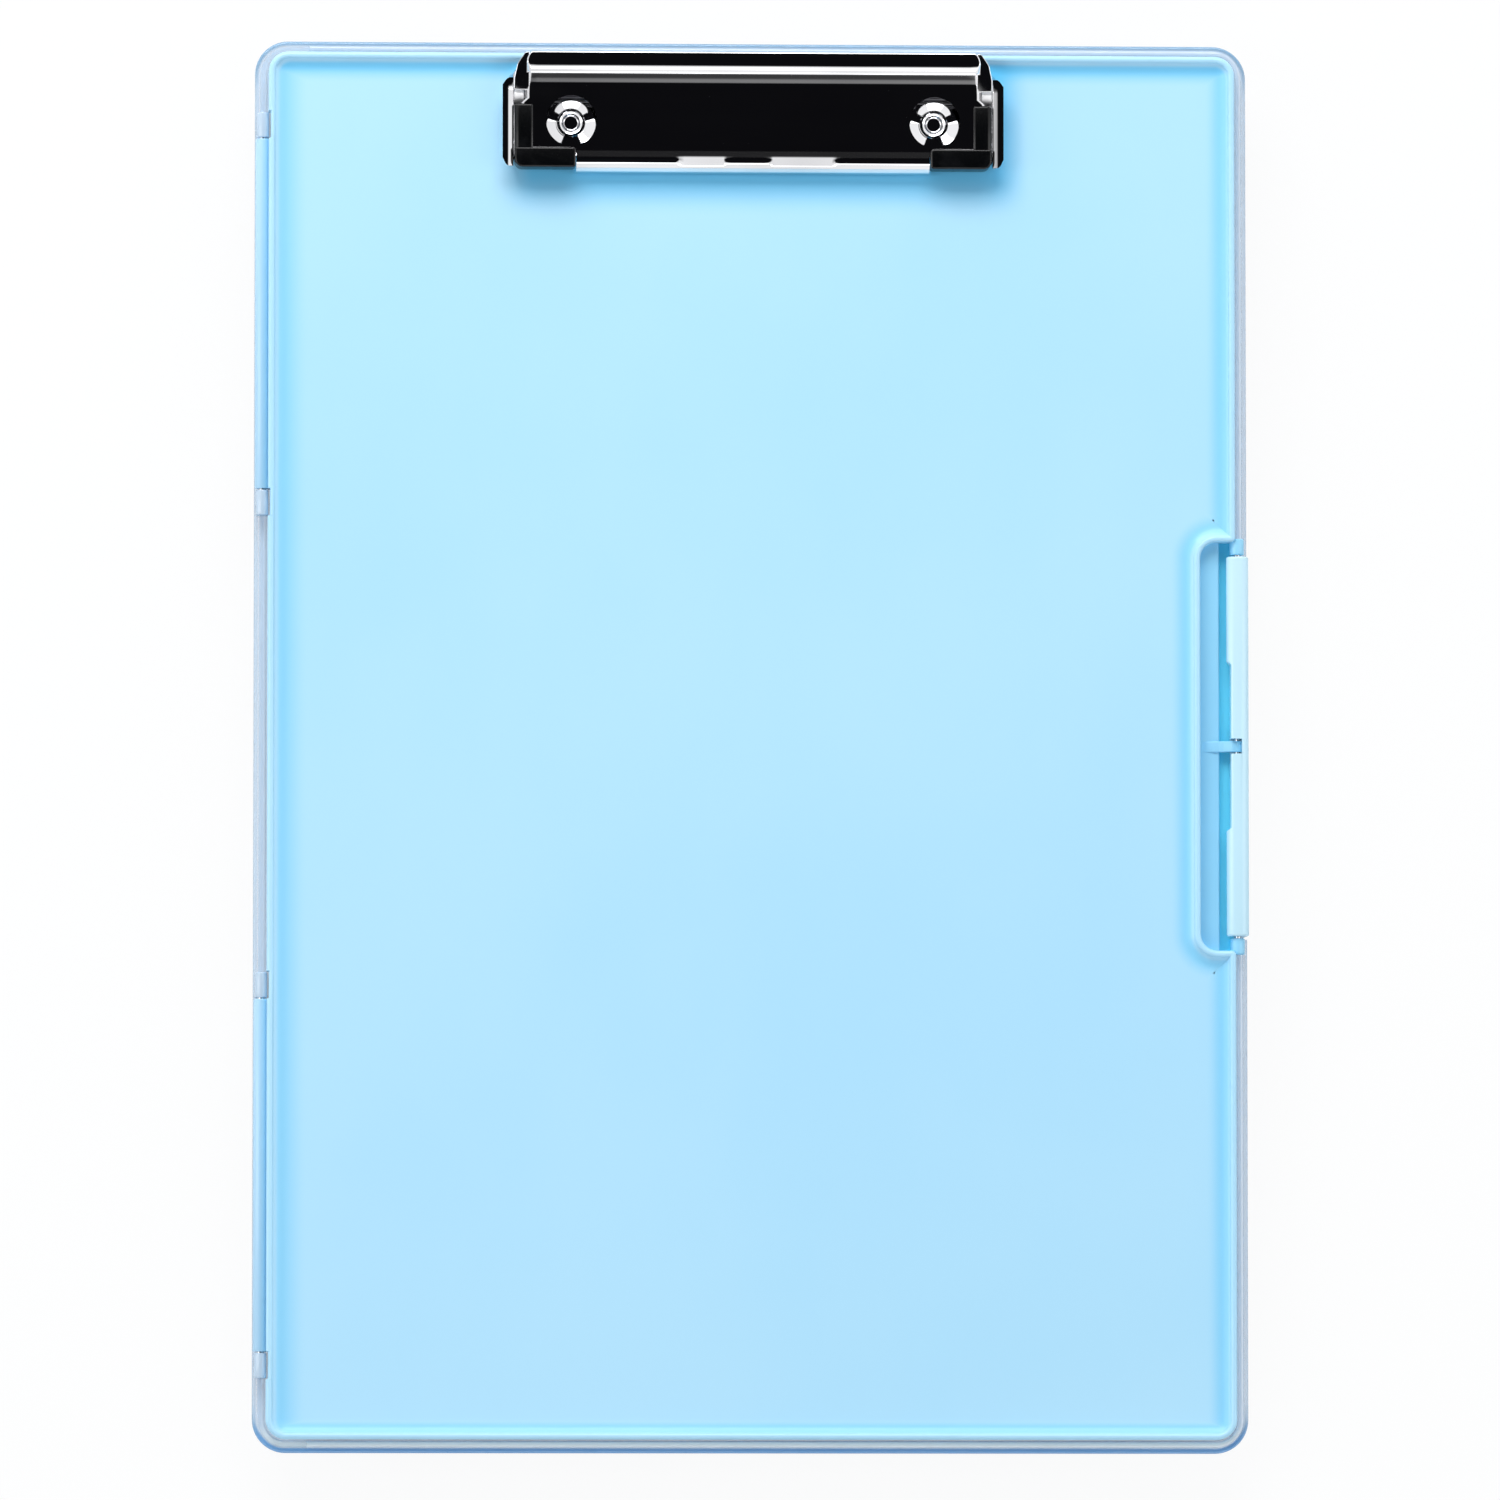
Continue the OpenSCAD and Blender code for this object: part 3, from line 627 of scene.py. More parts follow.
class Shell:
    """A mesh gathered from grids and caps, in millimetres."""

    def __init__(self) -> None:
        """Start with nothing."""
        self.points: list[np.ndarray] = []
        self.quads: list[np.ndarray] = []
        self.caps: list[list[int]] = []
        self.count = 0

    def grid(self, rows: np.ndarray, ring: bool = False) -> "Shell":
        """Add a closed skin of quads through rows of points, facing outwards.

        The surface is P(row, place) = rows[row, place], where neighbours share a face and the
        last place joins the first. The signed volume under it tells whether it has to be turned.

        Args:
            rows: points, shaped (rows, places, 3).
            ring: True to join the last row to the first, False to cap both with one face each.

        Returns:
            The shell.
        """
        index = self._numbers(rows)
        caps = [] if ring else [index[0, ::-1], index[-1]]
        if ring:
            index = np.vstack([index, index[:1]])
        quads = self._faces(np.hstack([index, index[:, :1]]))
        if self._volume(rows.reshape(-1, 3), quads, caps) < 0:
            quads = quads[:, ::-1]
            caps = [cap[::-1] for cap in caps]
        self.caps += [[int(i) + self.count for i in cap] for cap in caps]
        return self._take(rows, quads)

    def sheet(self, rows: np.ndarray) -> "Shell":
        """Add an open patch of quads with its faces in the order of the rows.

        Args:
            rows: points, shaped (rows, places, 3).

        Returns:
            The shell.
        """
        return self._take(rows, self._faces(self._numbers(rows)))

    def mirror(self) -> "Shell":
        """Swap left and right, with the faces still outwards, and return the shell."""
        self.points = [points * np.array([-1, 1, 1]) for points in self.points]
        self.quads = [quads[:, ::-1] for quads in self.quads]
        self.caps = [cap[::-1] for cap in self.caps]
        return self

    def _take(self, rows: np.ndarray, quads: np.ndarray) -> "Shell":
        """Append rows of points and the quads that number them, and return the shell."""
        self.points.append(rows.reshape(-1, 3))
        self.quads.append(quads + self.count)
        self.count += len(self.points[-1])
        return self

    @staticmethod
    def _numbers(rows: np.ndarray) -> np.ndarray:
        """Return the number of each point, shaped (rows, places)."""
        return np.arange(rows.shape[0] * rows.shape[1]).reshape(rows.shape[:2])

    @staticmethod
    def _faces(index: np.ndarray) -> np.ndarray:
        """Return the four corners of each face between neighbours on a grid of point numbers."""
        corners = [index[:-1, :-1], index[:-1, 1:], index[1:, 1:], index[1:, :-1]]
        return np.stack(corners, -1).reshape(-1, 4)

    @staticmethod
    def _volume(points: np.ndarray, quads: np.ndarray, caps: list[np.ndarray]) -> float:
        """Return the signed volume of quads and fan-split caps."""
        middle = points.mean(0)
        corners = points[quads] - middle
        total = 0.0
        for second, third in ((1, 2), (2, 3)):
            half = np.cross(corners[:, second], corners[:, third])
            total += np.einsum("ij,ij->i", corners[:, 0], half).sum()
        for cap in caps:
            fan = points[cap] - middle
            total += np.einsum("j,ij->i", fan[0], np.cross(fan[1:-1], fan[2:])).sum()
        return float(total)

    def build(
        self, name: str, finish: Finish, weld: float = 0.0, crease: float = 32.0
    ) -> bpy.types.Object:
        """Make the object at the origin, with smooth faces and sharp creases.

        Args:
            name: the object's name.
            finish: its finish.
            weld: distance in millimetres under which points are joined, or 0.
            crease: angle in degrees over which an edge stays sharp.

        Returns:
            The new object.
        """
        mesh = bpy.data.meshes.new(name)
        faces = [list(q) for q in np.vstack(self.quads).tolist()] + self.caps
        mesh.from_pydata((np.vstack(self.points) * MM).tolist(), [], faces)
        piece = bpy.data.objects.new(name, mesh)
        bpy.context.scene.collection.objects.link(piece)
        if weld:
            work = bmesh.new()
            work.from_mesh(mesh)
            bmesh.ops.remove_doubles(work, verts=work.verts, dist=weld * MM)
            work.to_mesh(mesh)
            work.free()
        mesh.polygons.foreach_set("use_smooth", np.ones(len(mesh.polygons), bool))
        mesh.set_sharp_from_angle(angle=math.radians(crease))
        mesh.materials.append(finish.material())
        return piece


def plate(
    piece: bpy.types.Object, thickness: float, edge: float, segments: int = 2
) -> bpy.types.Object:
    """Give a sheet its thickness, on the side away from its faces, and rounded edges.

    Args:
        piece: the sheet.
        thickness: in millimetres.
        edge: width of the rounding, in millimetres.
        segments: faces across the rounding.

    Returns:
        The object.
    """
    wall = piece.modifiers.new("wall", "SOLIDIFY")
    wall.thickness, wall.offset = thickness * MM, -1.0
    edges = piece.modifiers.new("edges", "BEVEL")
    edges.width, edges.segments = edge * MM, segments
    edges.limit_method, edges.angle_limit = "ANGLE", math.radians(SHEET_CREASE)
    edges.harden_normals = True
    return piece


def unit(vectors: np.ndarray) -> np.ndarray:
    """Return vectors, one in each row, at length 1."""
    return vectors / np.linalg.norm(vectors, axis=1, keepdims=True)


@dataclass
class Outline:
    """A closed outline with rounded corners, walked counter-clockwise, that can be drawn inset.

    A corner with radius 0 is a mark: one point on a straight side. Each other corner has as many
    points as steps says.
    """

    corners: Sequence[Pair]
    radii: Sequence[float]
    steps: int

    def at(self, inset: float) -> np.ndarray:
        """Return the outline moved inwards.

        Each corner moves along its bisector, and its arc is centre + r (cos, sin) with r
        shrunk by the inset on an outer corner and grown by it on an inner one.

        Args:
            inset: distance in millimetres.

        Returns:
            Points shaped (places, 2), as many for every inset.
        """
        p = np.asarray(self.corners, float)
        u, v = unit(p - np.roll(p, 1, 0)), unit(np.roll(p, -1, 0) - p)
        left_u, left_v = (np.stack([-way[:, 1], way[:, 0]], 1) for way in (u, v))
        q = p + inset * (left_u + left_v) / (1 + (left_u * left_v).sum(1, keepdims=True))
        turn = np.arctan2(u[:, 0] * v[:, 1] - u[:, 1] * v[:, 0], (u * v).sum(1))
        parts = []
        for i, radius in enumerate(self.radii):
            if radius == 0:
                parts.append(q[i : i + 1])
                continue
            side = math.copysign(1.0, turn[i])
            r = max(radius - side * inset, LEAST_RADIUS)
            start = q[i] - u[i] * r * math.tan(abs(turn[i]) / 2)
            centre = start + side * r * left_u[i]
            first = math.atan2(start[1] - centre[1], start[0] - centre[0])
            g = first + np.linspace(0, 1, self.steps) * turn[i]
            parts.append(centre + r * np.stack([np.cos(g), np.sin(g)], 1))
        return np.vstack(parts)


def rectangle(x0: float, x1: float, y0: float, y1: float, r: float, steps: int) -> Outline:
    """Return the outline of a rectangle with rounded corners."""
    return Outline([(x0, y0), (x1, y0), (x1, y1), (x0, y1)], [r] * 4, steps)


def pairs(first: Union[float, np.ndarray], second: Union[float, np.ndarray]) -> list[Pair]:
    """Return the points of a profile from two arrays, or from an array and a number."""
    return list(zip(*np.broadcast_arrays(first, second)))


def arc(centre: Pair, r: float, first: float, last: float, steps: int) -> list[Pair]:
    """Return the points centre + r (cos g, sin g), with g from first to last in degrees."""
    g = np.radians(np.linspace(first, last, steps))
    return pairs(centre[0] + r * np.cos(g), centre[1] + r * np.sin(g))


def rolled(start: Pair, turns: Sequence[Pair], ahead: float = 1.0) -> np.ndarray:
    """Return the line of a rolled sheet, whose tilt changes evenly along it between given places.

    The tilt is linear in the length, and a point is the running sum of (cos tilt, sin tilt) times
    the steps of length, each step at most 0.3 mm long or 7 degrees round.

    Args:
        start: the first point.
        turns: length from the start and tilt in degrees, at each place where the roll changes.
        ahead: 1 to run along the first axis, -1 to run against both.

    Returns:
        Points shaped (n, 2).
    """
    length, tilt = np.array(turns).T
    many = np.maximum(np.ceil(np.diff(length) / 0.3), np.ceil(np.abs(np.diff(tilt)) / 7))
    parts = [
        np.linspace(a, b, int(n), endpoint=False) for a, b, n in zip(length[:-1], length[1:], many)
    ]
    s = np.concatenate([*parts, length[-1:]])
    t = np.radians(np.interp((s[:-1] + s[1:]) / 2, length, tilt))
    steps = np.diff(s)[:, None] * np.stack([np.cos(t), np.sin(t)], 1)
    return np.array(start) + ahead * np.vstack([[(0.0, 0.0)], np.cumsum(steps, 0)])


def raise_rows(outline: Outline, profile: Sequence[Pair]) -> np.ndarray:
    """Carry a profile of (inset, height) round an outline.

    Row k is the outline moved inwards by the profile's inset k, at its height k.

    Args:
        outline: the closed outline, seen from above.
        profile: insets and heights in millimetres.

    Returns:
        Points shaped (profile, places, 3).
    """
    rows = [np.column_stack([xy := outline.at(d), np.full(len(xy), z)]) for d, z in profile]
    return np.stack(rows)


def rounded_block(outline: Outline, z0: float, z1: float, low: float, high: float) -> np.ndarray:
    """Return the rows of a block with rounded bottom and top edges.

    The profile is (low, z0), a quarter circle out to the wall, the wall, and a quarter circle in
    to (high, z1), with five points on each quarter.

    Args:
        outline: its plan.
        z0: height of the bottom.
        z1: height of the top.
        low: radius of the bottom edge.
        high: radius of the top edge.

    Returns:
        Rows for Shell.grid.
    """
    bottom, top = arc((low, z0 + low), low, 270, 180, 5), arc((high, z1 - high), high, 180, 90, 5)
    return raise_rows(outline, bottom + top)


def sweep_y(outline: Outline, stations: np.ndarray, shrink: np.ndarray) -> np.ndarray:
    """Carry an XZ section along Y.

    Row k is the section moved inwards by shrink k, at Y = stations k.

    Args:
        outline: the section as an outline in X and Z.
        stations: Y of each row.
        shrink: inset of each row.

    Returns:
        Rows for Shell.grid.
    """
    rows = []
    for y, d in zip(stations, shrink):
        xz = outline.at(float(d))
        rows.append(np.column_stack([xz[:, 0], np.full(len(xz), y), xz[:, 1]]))
    return np.stack(rows)


def soft_ends(y0: float, y1: float, r: float, steps: int = 4) -> tuple[np.ndarray, np.ndarray]:
    """Return stations and insets of a bar from y0 to y1 whose end edges are rounded by r.

    With g from 0 to pi / 2, the stations near an end are r (1 - sin g) from it, at the inset
    r (1 - cos g).
    """
    g = np.linspace(0, math.pi / 2, steps)
    near = y0 + r * (1 - np.sin(g))[::-1]
    inset = r * (1 - np.cos(g))[::-1]
    return np.concatenate([near, (y0 + y1 - near)[::-1]]), np.concatenate([inset, inset[::-1]])


def lathe(profile: Sequence[Pair], place: Triple, axis: str, around: int) -> np.ndarray:
    """Turn a profile of (radius, distance) round an axis.

    The surface is place + distance * axis + radius * (cos g, sin g) across it.

    Args:
        profile: radius and distance along the axis, in millimetres.
        place: a point on the axis.
        axis: "x", "y" or "z".
        around: points around.

    Returns:
        Rows for Shell.grid.
    """
    g = np.linspace(0, 2 * math.pi, around, endpoint=False)
    r, h = np.asarray(profile, float).T
    a, b = r[:, None] * np.cos(g), r[:, None] * np.sin(g)
    c = np.repeat(h[:, None], around, 1)
    order = {"x": (c, a, b), "y": (b, c, a), "z": (a, b, c)}[axis]
    return np.stack(order, -1) + np.asarray(place)


def keep(piece: bpy.types.Object, body: str, slot: str, *nodes: str) -> bpy.types.Object:
    """Hang a finished piece on its body and hide the nodes it stands for.

    Args:
        piece: the object.
        body: the body it rides on.
        slot: not used.
        nodes: the nodes it replaces.

    Returns:
        The object.
    """
    if nodes:
        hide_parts(*nodes)
    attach(piece, body)
    LOG.info("%s on %s: %d faces", piece.name, body, len(piece.data.polygons))
    return piece


# ---------------------------------------------------------------- tray


@dataclass
class Tray:
    """The clear tray: wall, flange, bead, hinge knuckles, catch rib, divider and pen rests."""

    notch: float = 46.0
    bead_gap: float = 49.5
    bead_start: float = -106.0
    knuckles: tuple[Pair, ...] = ((54.7, 60.7), (145.3, 151.3))
    knuckle_r: float = 1.5
    rib_half: float = 41.5
    floor: float = 2.6
    inner: Pair = (114.2, 164.2)
    divider: Triple = (134.6, 136.2, 11.6)
    rests: Triple = (-60.0, 0.0, 60.0)
    rest_top: float = 7.6
    pens: Pair = (143.2, 157.2)
    pen_r: float = 5.5

    def outline(self) -> Outline:
        """Return the flange's outline with marks where the bead and the flange stop."""
        x, y = FLANGE_HALF
        near, far = self.bead_start - MARK, self.bead_start + MARK
        places = (-self.bead_gap, -self.notch, self.notch, self.bead_gap)
        stops = [(x, place + d) for place in places for d in (-MARK, MARK)]
        corners = [(-x, -y), (near, -y), (far, -y), (x, -y), *stops]
        corners += [(x, y), (far, y), (near, y), (-x, y)]
        end = [FLANGE_CORNER, 0, 0, FLANGE_CORNER]
        return Outline(corners, [*end, *[0] * len(stops), *end], 14)

    def shell(self) -> bpy.types.Object:
        """Carry the section of floor, wall, flange and bead round the tray.

        Three sections with as many points each are used: with flange and bead, with the flange
        alone at the hinge side and beside the latch, and with neither where the latch hangs.
        """
        foot = [(16, 0.8), (13.25, 0.8), (13.05, 0.6), (13, 0.15), (12.85, 0), (7.15, 0), (7, 0.15)]
        foot += [(6.95, 0.6), (6.75, 0.8), *arc((4.2, 2.0), 1.2, 270, 180, 6), (3.0, 12.5)]
        flange = [(2.6, 13.0), (0.45, 13.0), *arc((0.5, 13.5), 0.5, 225, 180, 3)]
        flange += arc((0.6, 14.4), 0.6, 180, 90, 5)
        bead = [(1.1, 15.0), (1.2, 15.12), *arc((2.0, 16.4), 0.8, 180, 0, 11)]
        bead += [(2.8, 15.12), (2.92, 15.0)]
        plain = pairs(np.linspace(1.1, 2.92, len(bead)), 15.0)
        none = pairs(3.0, np.linspace(12.7, 14.6, len(flange)))
        over = pairs(3.02 + 0.02 * np.arange(len(bead)), 15.0)
        inside = [(4.3, 15.0), *arc((4.4, 14.6), 0.4, 90, 0, 4), (4.8, 5.0)]
        inside += [*arc((7.2, 5.0), 2.4, 180, 270, 7)[1:], (8.6, self.floor)]
        outline = self.outline()
        x, y = outline.at(0.0).T
        rows = raise_rows(outline, foot + flange + bead + inside)
        bare = raise_rows(outline, foot + flange + plain + inside)
        cut = raise_rows(outline, foot + none + over + inside)
        at_latch = (x > 0) & (np.abs(y) < self.notch)
        no_bead = (x < self.bead_start) | ((x > 0) & (np.abs(y) < self.bead_gap))
        rows = np.where(no_bead[None, :, None], bare, rows)
        rows = np.where(at_latch[None, :, None], cut, rows)
        return Shell().grid(rows).build("tray_shell", FLANGE)

    def knuckle(self, y0: float, y1: float) -> np.ndarray:
        """Return a knuckle: an upright stem with a round top about the hinge axis."""
        cx, cz = HINGE_AXIS
        r = self.knuckle_r
        corners = [(cx - r, 14.9), (cx + r, 14.9), (cx + r, cz + r), (cx - r, cz + r)]
        return sweep_y(Outline(corners, [0.05, 0.05, r, r], 10), *soft_ends(y0, y1, 0.3))

    def build(self) -> None:
        """Build the tray's pieces and hang them on their body."""
        keep(self.shell(), "tray", "clear_plastic", "tray")
        fittings = Shell()
        for a, b in self.knuckles:
            fittings.grid(self.knuckle(a, b)).grid(self.knuckle(-b, -a))
        corners = [(115.8, 11.4), (117.0, 11.4), (117.0, 12.8), (115.8, 12.8)]
        rib = Outline(corners, [0.05, 0.3, 0.5, 0.05], 4)
        fittings.grid(sweep_y(rib, *soft_ends(-self.rib_half, self.rib_half, 0.3)))
        keep(fittings.build("tray_hinge_knuckles", KNUCKLE), "tray", "clear_plastic")
        y0, y1, top = self.divider
        x = self.inner[0] + 0.1
        wall = rectangle(-x, x, y0, y1, 0.1, 3)
        inner = Shell().grid(rounded_block(wall, self.floor - 0.1, top, 0.05, 0.5))
        for centre in self.rests:
            inner.grid(self.pen_rest(centre))
        keep(inner.build("tray_dividers", CLEAR), "tray", "clear_plastic")

    def pen_rest(self, centre: float) -> np.ndarray:
        """Return one rest across the pen compartment, its top scooped for two pens.

        The top is z = h less what a circle of radius r about (pen, h + 1) reaches below it, and
        the section across it is rounded by 0.6.
        """
        along = np.linspace(self.divider[1] - 0.1, self.inner[1] + 0.1, 61)
        top = np.full(len(along), self.rest_top)
        for pen in self.pens:
            reach = self.pen_r**2 - (along - pen) ** 2
            scoop = self.rest_top + 1.0 - np.sqrt(np.maximum(reach, 0.0))
            top = np.where(reach > 1.0, np.minimum(top, scoop), top)
        low = self.floor - 0.1
        section = [(-0.9, 0.0), (-0.9, 1.0), *arc((-0.3, 1.0), 0.6, 180, 90, 4)]
        section += [*arc((0.3, 1.0), 0.6, 90, 0, 4), (0.9, 0.0)]
        across, rise = np.array(section).T
        z = np.where(rise <= 0.0, low, np.maximum(top[:, None] - 1.6 + rise, low + 0.3))
        x, y = np.broadcast_arrays(centre + across, along[:, None])
        return np.stack([x, y, z], -1)


# ---------------------------------------------------------------- lid


@dataclass
class Lid:
    """The light-blue lid: rim, panel, latch bay, locating skirt and hinge barrels."""

    half: Pair = (115.8, 165.8)
    corner: float = 4.8
    gaps: tuple[Pair, ...] = ((54.4, 61.0), (145.0, 151.6))
    bay_x: float = 107.35
    bay_half: float = 49.0
    bay_corner: float = 4.0
    rim_z: float = 22.0
    rim_width: float = 1.6
    rim_r: float = 0.8
    panel_z: float = 20.0
    cove: float = 3.4
    skirt_half: Pair = (113.8, 163.8)
    skirt_corner: float = 2.8
    skirt_start: float = -106.0

    def outline(self) -> Outline:
        """Return the rim's outer outline: the lid's edge, stepping in round the latch bay.

        Marks on the hinge side stand where the rim is narrower beside the knuckles.
        """
        x, y = self.half
        b, h = self.bay_x, self.bay_half
        places = [side * place for side in (-1, 1) for gap in self.gaps for place in gap]
        stops = sorted((place + d for place in places for d in (-MARK, MARK)), reverse=True)
        corners = [(-x, -y), (x, -y), (x, -h), (b, -h), (b, h), (x, h), (x, y), (-x, y)]
        corners += [(-x, stop) for stop in stops]
        bay = [1.1, self.bay_corner, self.bay_corner, 1.1]
        radii = [self.corner, self.corner, *bay, self.corner, self.corner, *[0] * len(stops)]
        return Outline(corners, radii, 14)

    def section(self, out: float) -> list[Pair]:
        """Return the section of rim and panel edge, with its outer wall moved in by out.

        The rim's top is half an ellipse 0.8 mm high, and the cove inside it falls to the panel as
        z = panel + (1 - t) ** 2.6, with t from 0 at the rim to 1 at the cove's foot.
        """
        under = [(6.0, 18.0), (3.7, 18.0), (3.4, 17.7), (3.4, 15.3), (3.3, 15.2)]
        wall = [(out + 0.2, 15.2), (out, 15.4), (out, 20.9)]
        wide, r = self.rim_width - out, self.rim_r
        g = np.linspace(0.05, math.pi - 0.05, 12)
        ridge = pairs(out + wide * (1 - np.cos(g)) / 2, self.rim_z - r + r * np.sin(g))
        start, t = self.rim_width + MARK, np.linspace(0, 1, 12)
        cove = pairs(start + self.cove * t, self.panel_z + (1 - t) ** 2.6)
        return under + wall + ridge + cove + [(start + self.cove + 0.4, self.panel_z)]

    def deck(self) -> bpy.types.Object:
        """Carry the section round the lid and close the panel inside it."""
        outline = self.outline()
        x, y = outline.at(0.0).T
        near = np.any([(np.abs(y) > first) & (np.abs(y) < last) for first, last in self.gaps], 0)
        beside = ((x < 0) & near)[None, :, None]
        narrow, full = (raise_rows(outline, self.section(out)) for out in (0.5, 0.0))
        rows = np.where(beside, narrow, full)
        return Shell().grid(rows).build("lid_deck", DECK_BLUE, crease=40.0)

    def skirt(self) -> np.ndarray:
        """Return the locating skirt: a wall swept along three sides, open at the hinges."""
        x, y = self.skirt_half
        r, start = self.skirt_corner, self.skirt_start
        bends = arc((x - r, r - y), r, 270, 360, 10) + arc((x - r, y - r), r, 0, 90, 10)
        path = np.array([(start, -y), *bends, (start, y)])
        ahead = unit(np.gradient(path, axis=0))
        ahead[:1], ahead[-1:] = (1, 0), (-1, 0)
        left = np.stack([-ahead[:, 1], ahead[:, 0]], 1)
        section = [(0.0, 16.0), (0.0, 13.1), (0.2, 12.75), (0.5, 12.7), (1.1, 12.7), (1.4, 13.0)]
        inwards, height = np.array([*section, (1.4, 16.0)]).T
        rows = [
            np.column_stack([point + np.outer(inwards, side), height])
            for point, side in zip(path, left)
        ]
        return np.stack(rows)

    def bay(self) -> bpy.types.Object:
        """Build the bay: floor, groove wall and ledge, the pin lugs, the finger and its gusset."""
        corners = [(106.6, 16.9), (110.5, 16.9), (110.5, 15.2), (115.8, 15.2), (115.8, 16.4)]
        corners += [(112.1, 16.4), (112.1, 18.5), (106.6, 18.5)]
        floor = Outline(corners, [0.05, 0.3, 0.2, 0.2, 0.3, 0.4, 0.5, 0.05], 5)
        made = Shell().grid(sweep_y(floor, np.array([-49.9, 49.9]), np.zeros(2)))
        cx = LATCH_AXIS[0]
        x0, x1, top = cx - 1.65, cx + 1.65, 21.0
        corners = [(x0, 16.2), (115.8, 16.2), (x1, 17.5), (x1, top), (x0, top)]
        lug = Outline(corners, [0.05, 0.2, 0.6, 1.64, 1.64], 8)
        y, inset = soft_ends(46.0, 49.8, 0.25)
        for s in (-1, 1):
            made.grid(sweep_y(lug, s * y, inset))
        x0, x1, top = cx - 1.3, cx + 1.3, 20.65
        corners = [(111.9, 16.2), (113.2, 16.2), (113.6, 18.0), (cx, 18.05), (x1, 18.05)]
        corners += [(x1, top), (x0, top), (113.0, 19.3), (111.9, 19.1)]
        finger = Outline(corners, [0.05, 0.3, 0.4, 0, 1.28, 1.28, 1.28, 0.8, 0.3], 6)
        corners = [(107.0, 18.3), (112.1, 18.3), (112.1, 19.1), (110.6, 19.0)]
        gusset = Outline(corners, [0.05, 0.05, 0.2, 1.0], 4)
        for outline in (finger, gusset):
            made.grid(sweep_y(outline, *soft_ends(-1.3, 1.3, 0.25)))
        return made.build("lid_latch_bay", SHADED_BAY_BLUE)

    def barrels(self) -> bpy.types.Object:
        """Build the two hinge barrels, each a tube of radius 1.8 with soft ends."""
        cx, cz = HINGE_AXIS
        first, last = self.gaps[0][1], self.gaps[1][0]
        made = Shell()
        for y0, y1 in ((first, last), (-last, -first)):
            wall = [(0.9, y0 + 0.6), (0.9, y0 + 0.1), (1.0, y0), (1.5, y0), (1.7, y0 + 0.1)]
            wall += [(1.8, y0 + 0.35)]
            wall += [(r, y0 + y1 - h) for r, h in reversed(wall)]
            made.grid(lathe(wall, (cx, 0, cz), "y", 40))
        return made.build("lid_hinge_barrels", BARREL)

    def build(self) -> None:
        """Build the lid's pieces and hang them on their body."""
        keep(self.deck(), "lid", "blue_plastic", "lid")
        keep(Shell().grid(self.skirt()).build("lid_skirt", SHADED_LID_BLUE), "lid", "blue_plastic")
        keep(self.bay(), "lid", "blue_plastic")
        keep(self.barrels(), "lid", "blue_plastic")


# ---------------------------------------------------------------- latch


@dataclass
class Latch:
    """The snap latch: a rounded head along the edge, a plate that hangs from it, and a hook.

    The relief is the finger pull and the notch the cut beside the lid's finger.
    """

    half: float = 45.5
    head: float = 2.65
    relief_half: float = 19.5
    relief: float = 1.0
    relief_ease: float = 0.9
    notch_half: float = 1.8
    notch_r: float = 1.6

    def body(self) -> bpy.types.Object:
        """Carry the latch's section along Y, cut back at the finger pull and the lid's finger.

        At each station the left side is moved to x = least(y). It steps in at the finger pull as
        t t (3 - 2 t) and, beside the finger, follows a circle of radius r about the axis.
        """
        h, r = self.head, self.notch_r
        corners = [(-h, -h), (0.95, -h), (0.95, -8.25), (-0.05, -8.25), (-0.05, -9.75)]
        corners += [(2.35, -9.75), (2.35, -2.0), (h, -0.5), (h, h), (-h, h)]
        section = Outline(corners, [2.6, 0.5, 0.4, 0.3, 0.3, 0.5, 1.5, 1.2, 2.1, 2.0], 12)
        ends, inset = soft_ends(-self.half, self.half, 0.5, 5)
        cuts = [self.relief_half + self.relief_ease * t for t in (1, 2 / 3, 1 / 3, 0)]
        cuts += [self.notch_half + MARK, self.notch_half - MARK]
        inner = sorted([-cut for cut in cuts] + cuts)
        y = np.concatenate([ends[:5], inner, ends[5:]])
        shrink = np.concatenate([inset[:5], np.zeros(len(inner)), inset[5:]])
        rows = sweep_y(section, y, shrink)
        x, z = rows[..., 0], rows[..., 2]
        t = np.clip((self.relief_half + self.relief_ease - np.abs(y)) / self.relief_ease, 0, 1)
        least = (-h + self.relief * t * t * (3 - 2 * t))[:, None] * np.ones_like(x)
        round_axis = np.where(z > -r, np.sqrt(np.maximum(r**2 - z**2, 0.0)), -h)
        beside = np.maximum(least, np.where(z > 0, 0.9, round_axis))
        least = np.where((np.abs(y) < self.notch_half)[:, None], beside, least)
        hanging = z < -h - 0.2
        rows[..., 0] = np.where(hanging, x, np.maximum(x, least)) + LATCH_AXIS[0]
        rows[..., 2] = z + LATCH_AXIS[1]
        return Shell().grid(rows).build("latch_body", LATCH_BLUE, weld=0.002, crease=38.0)

    def build(self) -> None:
        """Build the latch and hang it on its body."""
        keep(self.body(), "latch", "latch_plastic", "latch")


# ---------------------------------------------------------------- clip


class Side(Enum):
    """The side of the clip that a paired piece sits on."""

    LEFT = -1
    RIGHT = 1

    @property
    def label(self) -> str:
        """Return the side's name in node names."""
        return self.name.lower()


